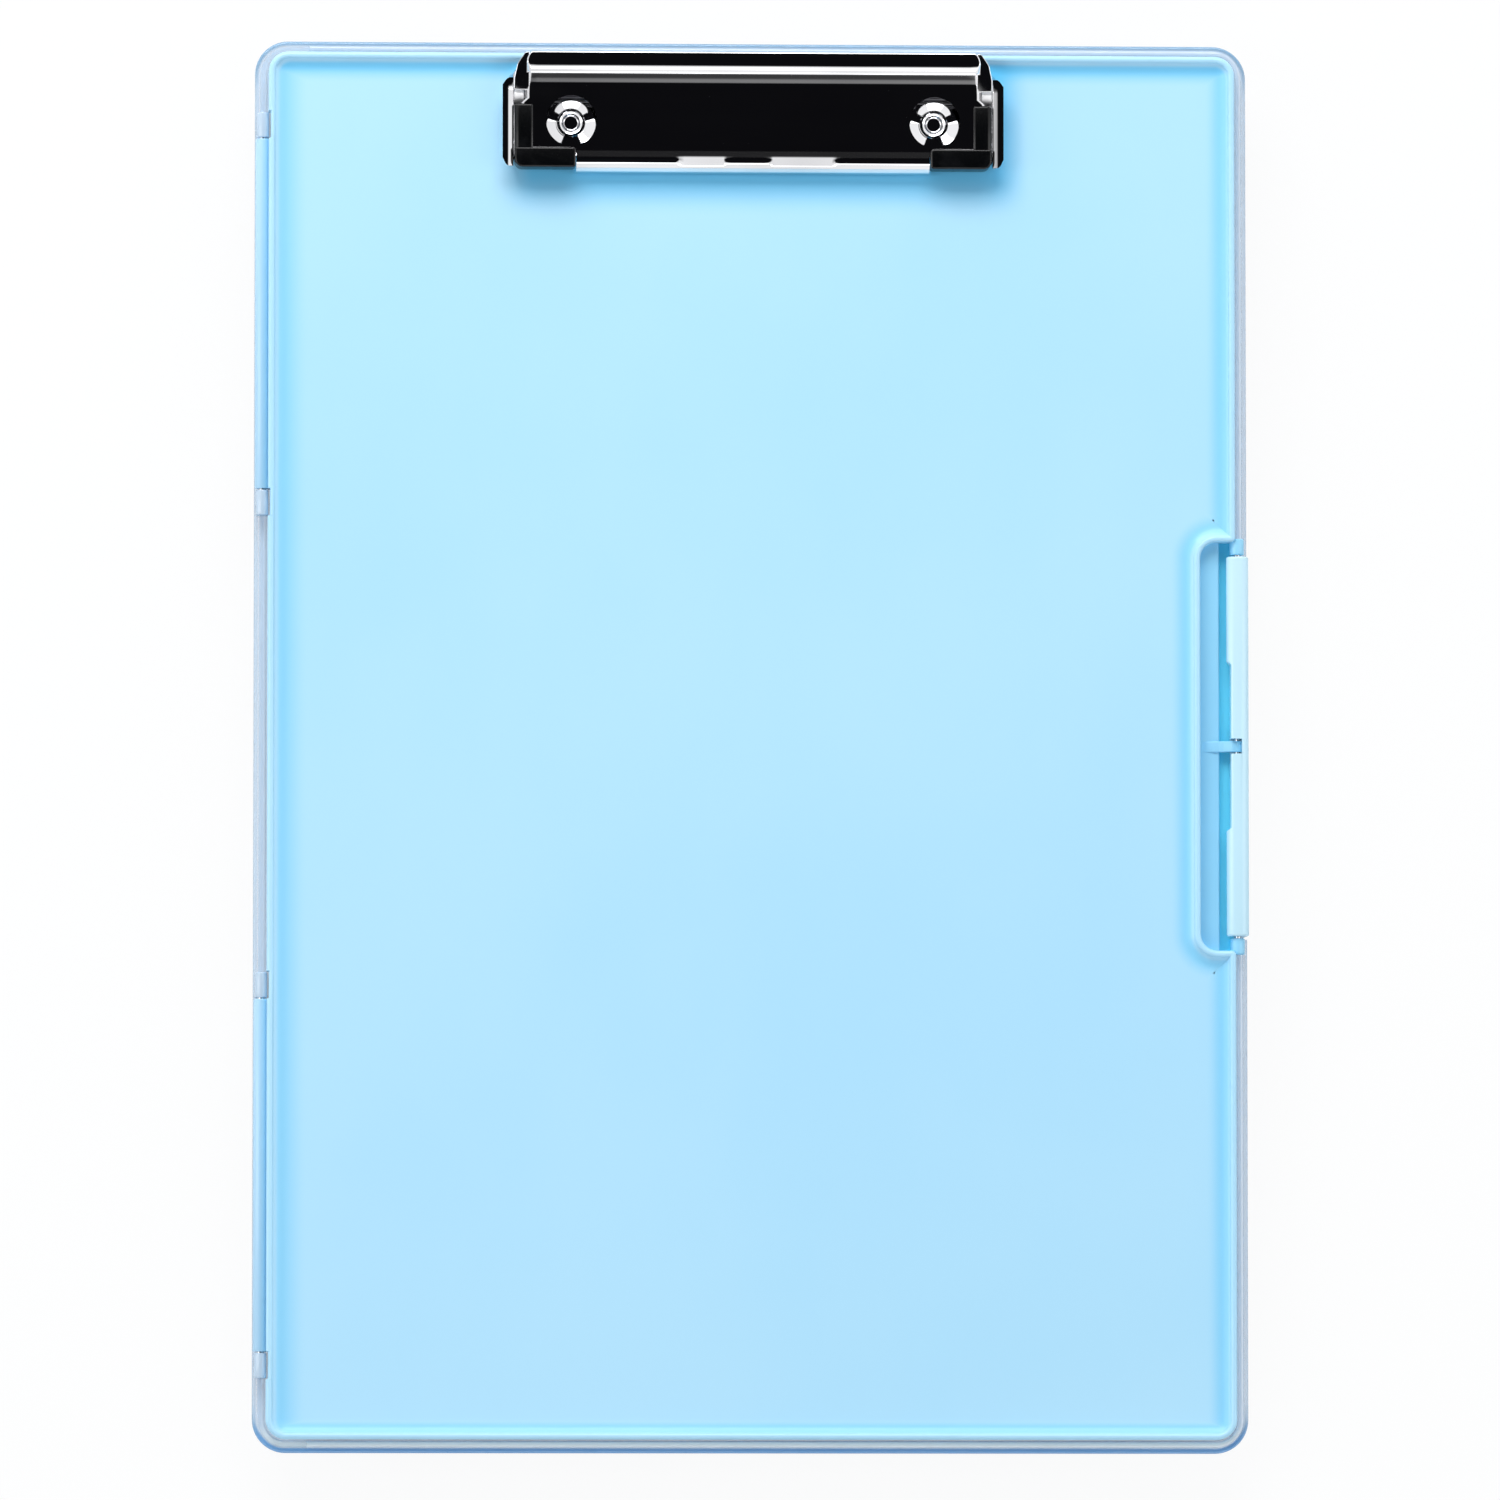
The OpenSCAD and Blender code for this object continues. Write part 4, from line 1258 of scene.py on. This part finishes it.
@dataclass
class Clip:
    """The spring clip: base plate with ears, sprung jaw, rod, springs, rivets and grips.

    Of the fields, pad_plane gives Y, Z and slope of the flats pressed into the lip, patch half the
    size of the rectangle round an access hole, petal_cuts each petal's bearing, half its spread
    and its reach, and blend_rise how far above and below the rod's axis a spring turns.
    """

    pivot: Pair = (155.4, 23.15)
    plate_z: float = 21.0
    top: float = 26.2
    sheet: float = 0.9
    half: float = 55.6
    lip_half: float = 42.3
    lever_half: float = 54.3
    curl: Pair = (0.9, 1.3)
    flat: Pair = (142.4, 157.9)
    pads: tuple[Pair, ...] = ((-18.0, -6.6), (4.2, 19.8))
    pad_edge: float = 0.6
    pad_plane: Triple = (140.3, 25.6, 21.5)
    rivet: Pair = (43.5, 149.0)
    access: float = 6.1
    patch: Pair = (8.2, 6.5)
    ear_in: float = 57.4
    ear_bend: float = 0.8
    plate_sheet: float = 0.98
    spring_x: float = 24.0
    coil_r: float = 1.45
    turns: int = 6
    pitch: float = 0.72
    wire: float = 0.3
    legs: tuple[float, ...] = (1.0, 2.0, 3.0, 4.2)
    blend_rise: float = 1.2
    petal_cuts: tuple[Triple, ...] = ((89, 58, 2.2), (208, 37, 2.95), (333, 37, 2.95))
    grip_x: Pair = (42.5, 57.1)

    def jaw_path(self) -> tuple[np.ndarray, np.ndarray]:
        """Return the outer face of the jaw from lip to lever as Y and Z, in two parts.

        Returns:
            The lip up to the flat, with a shallow fold before its bend, and the rise from the
            flat to the lever's folded edge.
        """
        front, back = self.flat
        fold = [(0, 0), (0.35, 16.6), (2.25, 16.6), (2.55, 5), (3.15, 5), (3.55, 30), (3.8, 42)]
        bend = [(4.05, 46.3), (5.2, 48.3), (5.8, 54), (6.5, 70), (7.1, 85), (9.1, 88)]
        lip = rolled((front, self.top), fold + bend, -1.0)
        rise = [(0, 0), (0.25, 18.3), (1.2, 18.3), (1.5, 17.1), (2.6, 17.1), (2.7, 87), (4.0, 87)]
        lever = [(4.13, 48), (6.9, 0), (8.9, 0), (9.36, -88), (11.2, -88)]
        return lip[::-1], rolled((back, self.top), rise + lever)

    def columns(self) -> np.ndarray:
        """Return the X of the jaw's flat columns, closer together at the holes and the pads."""
        hole = self.rivet[0] + self.patch[0] * np.linspace(-1, 1, 13)
        pads = np.abs(np.array(self.pads)).ravel()
        near, far = pads - self.pad_edge / 2, pads + self.pad_edge / 2
        side = np.concatenate([np.linspace(0, hole[0], 16)[1:-1], hole, near, far])
        side = np.unique(np.concatenate([side, [self.lip_half, self.half - self.curl[0]]]))
        return np.concatenate([-side[::-1], [0.0], side])

    def side_at(self, y: float) -> Triple:
        """Return how the jaw's side is shaped at a place along the clip.

        The sides step in beside the rod, the curl widens along the rise, and the back corners are
        rounded as a quarter ellipse.

        Args:
            y: the place along the clip.

        Returns:
            The half width of the flat face, the radius of the side's curl, and the height of the
            skirt's foot.
        """
        wide = self.half if y < 153.6 else self.lever_half
        radius = float(np.interp(y, [156.6, 159.6, 161.3, 162.6], [*self.curl, self.curl[1], 0.4]))
        back = float(np.clip((y - 162.6) / 2.9, 0, 1))
        wide -= 2.0 * (1 - math.sqrt(1 - back**2))
        return wide - radius, radius, float(np.interp(y, [161.5, 165.3], [25.2, 27.2]))

    def strip(self, path: np.ndarray, columns: np.ndarray, curled: bool) -> np.ndarray:
        """Return a strip of the jaw along a path.

        A curled strip has its sides folded down by a quarter circle and a skirt. Its columns keep
        their place up to hold, past the access holes or well inside the narrower lever, and the
        others close up to the edge.

        Args:
            path: Y and Z of its rows.
            columns: X of its flat columns.
            curled: True to fold its sides down.

        Returns:
            Rows shaped (path, columns, 3).
        """
        g = np.radians([12, 24, 36, 48, 60, 75, 90])
        full = self.half - self.curl[0]
        rows = []
        for y, z in path:
            x, drop = columns, np.zeros(len(columns))
            if curled:
                edge, radius, foot = self.side_at(float(y))
                hold = self.rivet[0] + self.patch[0] + MARK if edge > 53 else 46.0
                x = np.sign(columns) * np.interp(np.abs(columns), [0, hold, full], [0, hold, edge])
                out = np.append(edge + radius * np.sin(g), edge + radius)
                fall = np.append(radius * (1 - np.cos(g)), max(radius + 0.1, z - foot))
                x = np.concatenate([-out[::-1], x, out])
                drop = np.concatenate([fall[::-1], drop, fall])
            rows.append(np.column_stack([x, np.full(len(x), y), z - drop]))
        return np.stack(rows)

    def hole_patch(self, sign: int, columns: np.ndarray, y: np.ndarray) -> np.ndarray:
        """Return the ring between an access hole and the rectangle of columns and rows round it.

        A point is centre + (1 - t) r u + t (b - centre), where b is on the rectangle's edge and u
        points to it.

        Args:
            sign: -1 for the left hole, 1 for the right one.
            columns: X of the columns that cross the rectangle.
            y: Y of the rows that cross it.

        Returns:
            Rows shaped (rings, places, 3).
        """
        centre = np.array([sign * self.rivet[0], self.rivet[1]])
        edge = pairs(columns[:-1], y[0]) + pairs(columns[-1], y[:-1])
        edge += pairs(columns[:0:-1], y[-1]) + pairs(columns[0], y[::-1])
        away = np.array(edge) - centre
        t = np.linspace(0, 1, 5)[:, None, None]
        rings = centre + (1 - t) * self.access * unit(away) + t * away
        return np.concatenate([rings, np.full((*rings.shape[:2], 1), self.top)], -1)

    def jaw(self) -> bpy.types.Object:
        """Build the jaw's sheet: lip, flat with two access holes, rise and lever."""
        lip, rise = self.jaw_path()
        columns = self.columns()
        tiny = 1e-6
        narrow = columns[np.abs(columns) <= self.lip_half + tiny]
        hole_y = self.rivet[1] + self.patch[1] * np.linspace(-1, 1, 13)
        stations = ((self.flat[0], hole_y[0]), hole_y, (hole_y[-1], 157.1, 157.8))
        front, holes, back = (np.array(pairs(y, self.top)) for y in stations)
        made = Shell()
        made.sheet(self.relief(self.strip(lip, narrow, False)))
        made.sheet(self.strip(front, columns, True))
        band = self.strip(holes, columns, True)
        x = band[0, :, 0]
        left, right = (
            np.flatnonzero(np.abs(x - s * self.rivet[0]) <= self.patch[0] + tiny) for s in (-1, 1)
        )
        for a, b in ((0, left[0]), (left[-1], right[0]), (right[-1], len(x) - 1)):
            made.sheet(band[:, a : b + 1])
        for sign, span in ((-1, left), (1, right)):
            made.sheet(self.hole_patch(sign, x[span], hole_y)[::-1])
        made.sheet(self.strip(np.vstack([back, rise]), columns, True))
        piece = made.build("clip_jaw_sheet", CHROME, weld=0.003, crease=SHEET_CREASE)
        return plate(piece, self.sheet, 0.16)

    def relief(self, rows: np.ndarray) -> np.ndarray:
        """Press two flat pads into the lip's bend, left and right of the middle.

        Inside a pad the height is the lesser of the lip's own and z0 - (y0 - y) tan a, a plane
        that falls towards the lip, where pad_plane gives y0, z0 and a.
        """
        x, y, z = rows[..., 0], rows[..., 1], rows[..., 2]
        inside = np.zeros_like(x)
        for x0, x1 in self.pads:
            since, left = (x - x0) / self.pad_edge + 0.5, (x1 - x) / self.pad_edge + 0.5
            inside += np.clip(since, 0, 1) * np.clip(left, 0, 1)
        y0, z0, slope = self.pad_plane
        plane = z0 - np.maximum(y0 - y, 0.0) * math.tan(math.radians(slope))
        rows[..., 2] = np.where(y < y0, z + inside * (np.minimum(z, plane) - z), z)
        return rows

    def jaw_flanges(self) -> bpy.types.Object:
        """Build the jaw's end plates, which the rod passes through, and the sloped tabs behind."""
        corners = [(147.0, 25.5), (147.0, 24.6), (154.0, 21.3), (156.8, 21.3), (158.8, 24.3)]
        outline = Outline([*corners, (158.8, 25.5)], [0.1, 0.8, 1.7, 1.7, 1.0, 0.1], 8)
        end = sweep_y(outline, *soft_ends(53.7, 54.6, 0.12, 3))[..., [1, 0, 2]]
        corners = [(53.6, 156.4), (57.25, 156.4), (57.25, 159.2), (56.5, 162.6), (54.6, 165.3)]
        outline = Outline([*corners, (53.6, 165.3)], [0.1, 0.5, 2.2, 2.6, 1.0, 0.1], 8)
        tab = rounded_block(outline, 25.2, 26.0, 0.1, 0.16)
        tab[..., 2] += 0.24 * (tab[..., 1] - 156.9)
        made = Shell()
        for s in (-1, 1):
            for rows in (end, tab):
                made.grid(rows * np.array([s, 1, 1]))
        return made.build("clip_jaw_flanges", CHROME)

    def base_plate(self) -> bpy.types.Object:
        """Bend the base plate and its flared ears from one sheet, carried along Y.

        Column u of the path across the clip runs from Y = front(u) to Y = back(u); the plate is
        cut back at its corners, the ears reach further forward, and the flare of an ear flattens
        at its back end.
        """
        e, z, r = self.ear_in, self.plate_z, self.ear_bend
        foot = np.array([(e - r, z), *arc((e - r, z + r), r, 292, 360, 4), (e, z + 2.0)])
        flare = rolled((e, 25.15), [(0, 90), (0.2, 18.3), (1.3, 18), (1.6, 8), (2.75, 0)])
        out = np.clip((flare[:, 0] - e - self.ear_bend) / 1.7, 0, 1)
        front = np.concatenate([np.linspace(141.2, 138.3, len(foot)), 138.2 + 2.0 * out**3])
        back = np.concatenate([np.linspace(162.0, 159.4, len(foot)), 159.4 - 1.7 * out**2])
        table = np.column_stack([np.vstack([foot, flare]), front, back])
        middle = np.array([(x, z, 141.2, 163.0) for x in np.linspace(-54.0, 54.0, 13)])
        path = np.vstack([table[::-1] * [-1, 1, 1, 1], middle, table])
        v = np.array([0, 0.15, 0.3, 0.5, 0.7, 0.85, 0.9, 0.94, 0.97, 1.0])[:, None]
        y = path[:, 2] * (1 - v) + path[:, 3] * v
        flat = np.clip((v - 0.9) / 0.05, 0, 1) * (path[:, 1] > 25.0)
        height = path[:, 1] + flat * (flare[-1, 1] - path[:, 1])
        rows = np.stack([np.broadcast_to(path[:, 0], y.shape), y, height], -1)
        shell = Shell().sheet(rows[::-1, ::-1])
        piece = shell.build("clip_base_sheet", CHROME, crease=SHEET_CREASE)
        return plate(piece, self.plate_sheet, 0.18, 3)

    def paper_stops(self) -> bpy.types.Object:
        """Build the two low stops pressed up from the base plate."""
        made = Shell()
        for x in (-12, 12):
            stop = rectangle(x - 4, x + 4, 143.05, 144.15, 0.4, 5)
            made.grid(rounded_block(stop, 20.9, 22.6, 0.1, 0.4))
        return made.build("clip_paper_stops", CHROME)

    def turned(
        self, name: str, finish: Finish, profile: Sequence[Pair], ends: Sequence[int]
    ) -> bpy.types.Object:
        """Turn a profile of (radius, distance) round the rod's axis.

        Args:
            name: the object's name.
            finish: its finish.
            profile: radius and distance from the middle of the clip.
            ends: 1 for the right end, -1 for its mirror image on the left.

        Returns:
            The new object.
        """
        made = Shell()
        for s in ends:
            made.grid(lathe([(r, s * x) for r, x in profile], (0, *self.pivot), "x", 32))
        return made.build(name, finish)

    def rod(self) -> bpy.types.Object:
        """Turn the shaft of the pivot rod, coloured near black as painted shade."""
        profile = [(0.2, -58.45), (1.1, -58.45), (1.25, -58.3)]
        profile += [(r, -x) for r, x in reversed(profile)]
        return self.turned("clip_rod", SHADED_SHAFT, profile, (1,))

    def heads(self) -> bpy.types.Object:
        """Turn the two domed heads at the ends of the rod."""
        profile = [(1.0, 58.4), (1.3, 58.42), (1.3, 58.6), (1.1, 58.85), (0.7, 58.98), (0.15, 59.0)]
        return self.turned("clip_rod_heads", CHROME, profile, (-1, 1))

    def collars(self) -> bpy.types.Object:
        """Turn the two satin collars on the rod, between the jaw and the ears."""
        profile = [(0.9, 54.8), (1.6, 54.8), (1.85, 55.0), (1.85, 57.1), (1.6, 57.35), (0.9, 57.35)]
        return self.turned("clip_rod_collars", STEEL_X, profile, (-1, 1))

    def spring(self, side: Side) -> bpy.types.Object:
        """Carry a round wire along a leg, six and a half turns of coil, and a second leg.

        The coil is (pitch (n - 3), R cos g, R sin g) after n turns, with g = -90 - 360 n degrees,
        and the wire's section is a circle across the path.
        """
        r, turns, pitch = self.coil_r, self.turns, self.pitch
        g = np.radians(-90 - np.linspace(0, 360 * turns + 180, 26 * turns + 13))
        along = np.linspace(0, turns * pitch + pitch / 2, len(g)) - turns * pitch / 2
        coil = np.stack([along, r * np.cos(g), r * np.sin(g)], 1)
        low = [(along[0], y, -1.55) for y in reversed(self.legs)]
        high = [(along[-1], y, 1.65) for y in self.legs]
        path = np.vstack([low, coil, high]) + np.array([side.value * self.spring_x, *self.pivot])
        ahead = unit(np.gradient(path, axis=0))
        one = unit(np.cross(ahead, (1.0, 0.0, 0.001)))
        two = np.cross(ahead, one)
        a = np.linspace(0, 2 * math.pi, 10, endpoint=False)[:, None]
        rows = path[:, None] + self.wire * (np.cos(a) * one[:, None] + np.sin(a) * two[:, None])
        return Shell().grid(rows).build(f"spring_{side.label}", SPRING)

    def wind(self, spring: bpy.types.Object, node: str) -> None:
        """Hide the node that a spring stands for and bake the spring's placing into its mesh.

        Args:
            spring: the finished spring.
            node: the node it stands for.
        """
        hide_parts(node)
        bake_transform(spring)
        LOG.info("%s on lid and clip_jaw: %d faces", spring.name, len(spring.data.polygons))

    def rivet_axis(self, side: Side) -> Triple:
        """Return the point at height 0 on the axis of a rivet."""
        return side.value * self.rivet[0], self.rivet[1], 0.0

    def rivet_piece(self, side: Side) -> bpy.types.Object:
        """Turn a tubular rivet: a rolled rim, a cone that falls to the bore, and a flared tail."""
        profile = [(0.3, 18.2), (1.4, 18.2), (1.55, 18.4), (1.6, 21.3), (1.92, 21.86), (2.6, 22.24)]
        profile += [(2.74, 22.28), (2.86, 22.22), (2.93, 22.08), (2.93, 21.5), (2.0, 21.4)]
        profile += [(2.0, 17.6), (2.8, 17.38), (2.9, 17.1), (2.6, 16.75), (1.9, 16.7)]
        profile += [(1.4, 16.95), (1.3, 17.4), (0.3, 17.5)]
        rows = lathe(profile, self.rivet_axis(side), "z", 40)
        return Shell().grid(rows).build(f"rivet_tube_{side.label}", CHROME)

    def petals(self, side: Side) -> bpy.types.Object:
        """Press the washer's three petals, turned up round the rivet.

        A petal is a wedge of a cup: z climbs outwards as a cone of 28 degrees with a rounded
        foot, and its corners are rounded by drawing the rim in towards its ends. The one at the
        back is wider and shorter than the two at the front.
        """
        made = Shell()
        t = np.linspace(0, 1, 11)[:, None]
        s = np.linspace(-1, 1, 17)[None, :]
        for middle, spread, reach in self.petal_cuts:
            radius = 3.2 + (reach - 0.5 * np.abs(s) ** 5) * t
            climb = np.maximum(radius - 3.4, 0.0)
            height = 21.2 + math.tan(math.radians(28)) * climb**2 / (climb + 0.1)
            g = np.radians(middle + s * (spread - 3.0 * (1 - t)))
            top = np.stack([radius * np.cos(g), radius * np.sin(g), height], -1)
            made.sheet(top + np.array(self.rivet_axis(side)))
        piece = made.build(f"washer_petals_{side.label}", CHROME)
        return plate(piece, 0.35, 0.08)

    def collar(self, side: Side) -> bpy.types.Object:
        """Turn the washer's flat collar inside the petals."""
        profile = [(2.05, 21.3), (3.2, 21.3), (3.35, 21.2), (3.4, 21.04), (2.05, 21.02)]
        rows = lathe(profile, self.rivet_axis(side), "z", 40)
        return Shell().grid(rows, ring=True).build(f"washer_collar_{side.label}", CHROME)

    def grip(self, side: Side) -> bpy.types.Object:
        """Mould a corner grip: a foot in place of the lip and a strip back along the jaw's side."""
        x0, x1 = self.grip_x
        made = Shell()
        blocks = (
            (142.6, [0.7, 1.9, 0.4, 0.9], (26.2, 27.0, 0.05, 0.5)),
            (140.78, [0.7, 1.9, 0.1, 0.1], (20.4, 26.4, 0.4, 0.1)),
        )
        for back, radii, heights in blocks:
            corners = [(x0, 137.8), (x1, 137.8), (x1, back), (x0, back)]
            made.grid(rounded_block(Outline(corners, radii, 7), *heights))
        corners = [(52.8, 26.2), (55.65, 26.2), (55.65, 23.2), (x1, 23.2), (x1, 26.9), (52.8, 26.9)]
        strip = Outline(corners, [0.1, 0.1, 0.3, 0.4, 1.1, 0.5], 6)
        made.grid(sweep_y(strip, *soft_ends(141.4, 153.0, 0.5)))
        if side is Side.LEFT:
            made.mirror()
        return made.build(f"grip_{side.label}", RUBBER)

    def build(self) -> None:
        """Build the clip's pieces and hang them on their bodies."""
        keep(self.jaw(), "clip_jaw", "clip_chrome", "clip_jaw")
        keep(self.jaw_flanges(), "clip_jaw", "clip_chrome")
        keep(self.base_plate(), "lid", "clip_chrome", "clip_base_plate")
        keep(self.paper_stops(), "lid", "clip_chrome")
        keep(self.rod(), "lid", "clip_chrome", "clip_pivot_rod")
        keep(self.heads(), "lid", "clip_chrome")
        keep(self.collars(), "lid", "clip_chrome")
        for side in Side:
            self.wind(self.spring(side), f"clip_spring_{side.label}")
            keep(self.rivet_piece(side), "lid", "clip_chrome", f"rivet_{side.label}")
            keep(self.petals(side), "lid", "clip_chrome", f"cup_washer_{side.label}")
            keep(self.collar(side), "lid", "clip_chrome")
            keep(self.grip(side), "clip_jaw", "black_rubber", f"corner_grip_{side.label}")


# ---------------------------------------------------------------- studio


@dataclass
class Lamp:
    """A soft area lamp aimed at the middle of the box."""

    name: str
    azimuth: float
    elevation: float
    size: Pair
    watts: float
    distance: float = 1.5

    def build(self) -> None:
        """Place the lamp on its bearing, counted from +X towards +Y, and turn it to the box."""
        data = bpy.data.lights.new(self.name, "AREA")
        data.shape, data.size, data.size_y, data.energy = "RECTANGLE", *self.size, self.watts
        lamp = bpy.data.objects.new(self.name, data)
        a, e = math.radians(self.azimuth), math.radians(self.elevation)
        toward = Vector((math.cos(a) * math.cos(e), math.sin(a) * math.cos(e), math.sin(e)))
        lamp.location = toward * self.distance
        lamp.rotation_euler = (-lamp.location).to_track_quat("-Z", "Z").to_euler()
        lamp.visible_camera = False
        bpy.context.scene.collection.objects.link(lamp)


@dataclass
class Studio:
    """Pale floor, soft lamps, a sky that is bright low down and dark overhead, and the camera."""

    lean: Pair = (-2.9, -3.9)
    distance: float = 3.3
    aim: Triple = (-0.00025, -0.0009, 0.015)
    view_width: float = 0.3589
    fill: Colour = (0.37, 0.45, 0.51)
    overhead: Colour = (0.004, 0.004, 0.005)
    dusk: Pair = (52.0, 64.0)
    floor_half: float = 6.0
    floor_glow: float = 0.92
    lamps: list[Lamp] = field(
        default_factory=lambda: [
            Lamp("key", 100.0, 39.0, (1.3, 0.7), 17.5),
            Lamp("left", 180.0, 36.0, (1.3, 0.5), 4.4),
            Lamp("right", 0.0, 36.0, (1.3, 0.5), 3.4),
            Lamp("front", 270.0, 40.0, (1.3, 0.5), 3.9),
        ]
    )

    def floor(self) -> None:
        """Lay the floor: nearly white of itself, with a share of lit surface that takes shadows."""
        mesh = bpy.data.meshes.new("floor")
        r = self.floor_half
        mesh.from_pydata([(-r, -r, 0), (r, -r, 0), (r, r, 0), (-r, r, 0)], [], [(0, 1, 2, 3)])
        made = bpy.data.materials.new("floor_white")
        made.use_nodes = True
        graph = Graph(made.node_tree)
        lit = graph.add("ShaderNodeBsdfDiffuse", None, {"Color": (0.95, 0.95, 0.95, 1.0)})
        white = {"Color": (1.0, 1.0, 1.0, 1.0), "Strength": 1.0}
        glow = graph.add("ShaderNodeEmission", None, white)
        seen = graph.add("ShaderNodeLightPath").outputs["Is Camera Ray"]
        parts = {0: Value(graph, seen) * self.floor_glow, 1: lit.outputs[0], 2: glow.outputs[0]}
        both = graph.add("ShaderNodeMixShader", None, parts)
        graph.add("ShaderNodeOutputMaterial", None, {"Surface": both.outputs[0]})
        mesh.materials.append(made)
        floor = bpy.data.objects.new("floor", mesh)
        bpy.context.scene.collection.objects.link(floor)

    def sky(self) -> None:
        """Make the world bright low down and dark overhead, with dusk between two elevations.

        Metal and clear plastic see it at full strength, and what it sheds on dull surfaces is
        weaker and bluer, so that the lamps' shadows show.
        """
        world = bpy.data.worlds.new("studio")
        bpy.context.scene.world = world
        world.use_nodes = True
        graph = Graph(world.node_tree)
        toward = graph.add("ShaderNodeTexCoord").outputs["Generated"]
        rise = Value(graph, graph.add("ShaderNodeSeparateXYZ", None, {0: toward}).outputs[2])
        dark = rise.step(*(math.sin(math.radians(a)) for a in self.dusk))
        paths = graph.add("ShaderNodeLightPath").outputs
        seen, glossy, through = (
            Value(graph, paths[f"Is {kind} Ray"]) for kind in ("Camera", "Glossy", "Transmission")
        )
        bright = graph.blend(seen.most(glossy).most(through), self.fill, (1.0, 1.0, 1.0))
        colour = graph.mix(dark, bright, (*self.overhead, 1.0))
        glow = graph.add("ShaderNodeBackground", None, {"Color": colour, "Strength": 1.0})
        graph.add("ShaderNodeOutputWorld", None, {"Surface": glow.outputs[0]})

    def camera(self) -> None:
        """Place the camera high over the box, a little to the hinge side and the foot end."""
        data = bpy.data.cameras.new("camera")
        camera = bpy.data.objects.new("camera", data)
        lean = Vector([math.tan(math.radians(a)) for a in self.lean] + [1.0]).normalized()
        aim = Vector(self.aim)
        right = Vector((0, 1, 0)).cross(lean).normalized()
        up = lean.cross(right)
        turn = Matrix((right, up, lean)).transposed().to_4x4()
        camera.matrix_world = Matrix.Translation(aim + lean * self.distance) @ turn
        data.sensor_width = 36.0
        data.lens = data.sensor_width * self.distance / self.view_width
        data.clip_start, data.clip_end = 0.1, 50.0
        bpy.context.scene.collection.objects.link(camera)
        bpy.context.scene.camera = camera

    def build(self) -> None:
        """Build floor, sky, lamps and camera."""
        self.floor()
        self.sky()
        for lamp in self.lamps:
            lamp.build()
        self.camera()
        bpy.context.scene.view_settings.view_transform = "Standard"


CARRIED = {
    "hinge_pin_upper": STEEL_Y,
    "hinge_pin_lower": STEEL_Y,
    "latch_pin": STEEL_Y,
    "backing_washer_left": WASHER,
    "backing_washer_right": WASHER,
}


def dress_carried() -> None:
    """Give the nodes whose shape stays their finish."""
    for name, finish in CARRIED.items():
        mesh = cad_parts[name].data
        mesh.materials.clear()
        mesh.materials.append(finish.material())
        LOG.info("%s keeps its shape", name)


def main() -> None:
    """Build the box from the tray up, then the studio."""
    logging.basicConfig(level=logging.INFO, format="%(message)s")
    Tray().build()
    Lid().build()
    Latch().build()
    Clip().build()
    dress_carried()
    Studio().build()


if __name__ == "__main__":
    main()
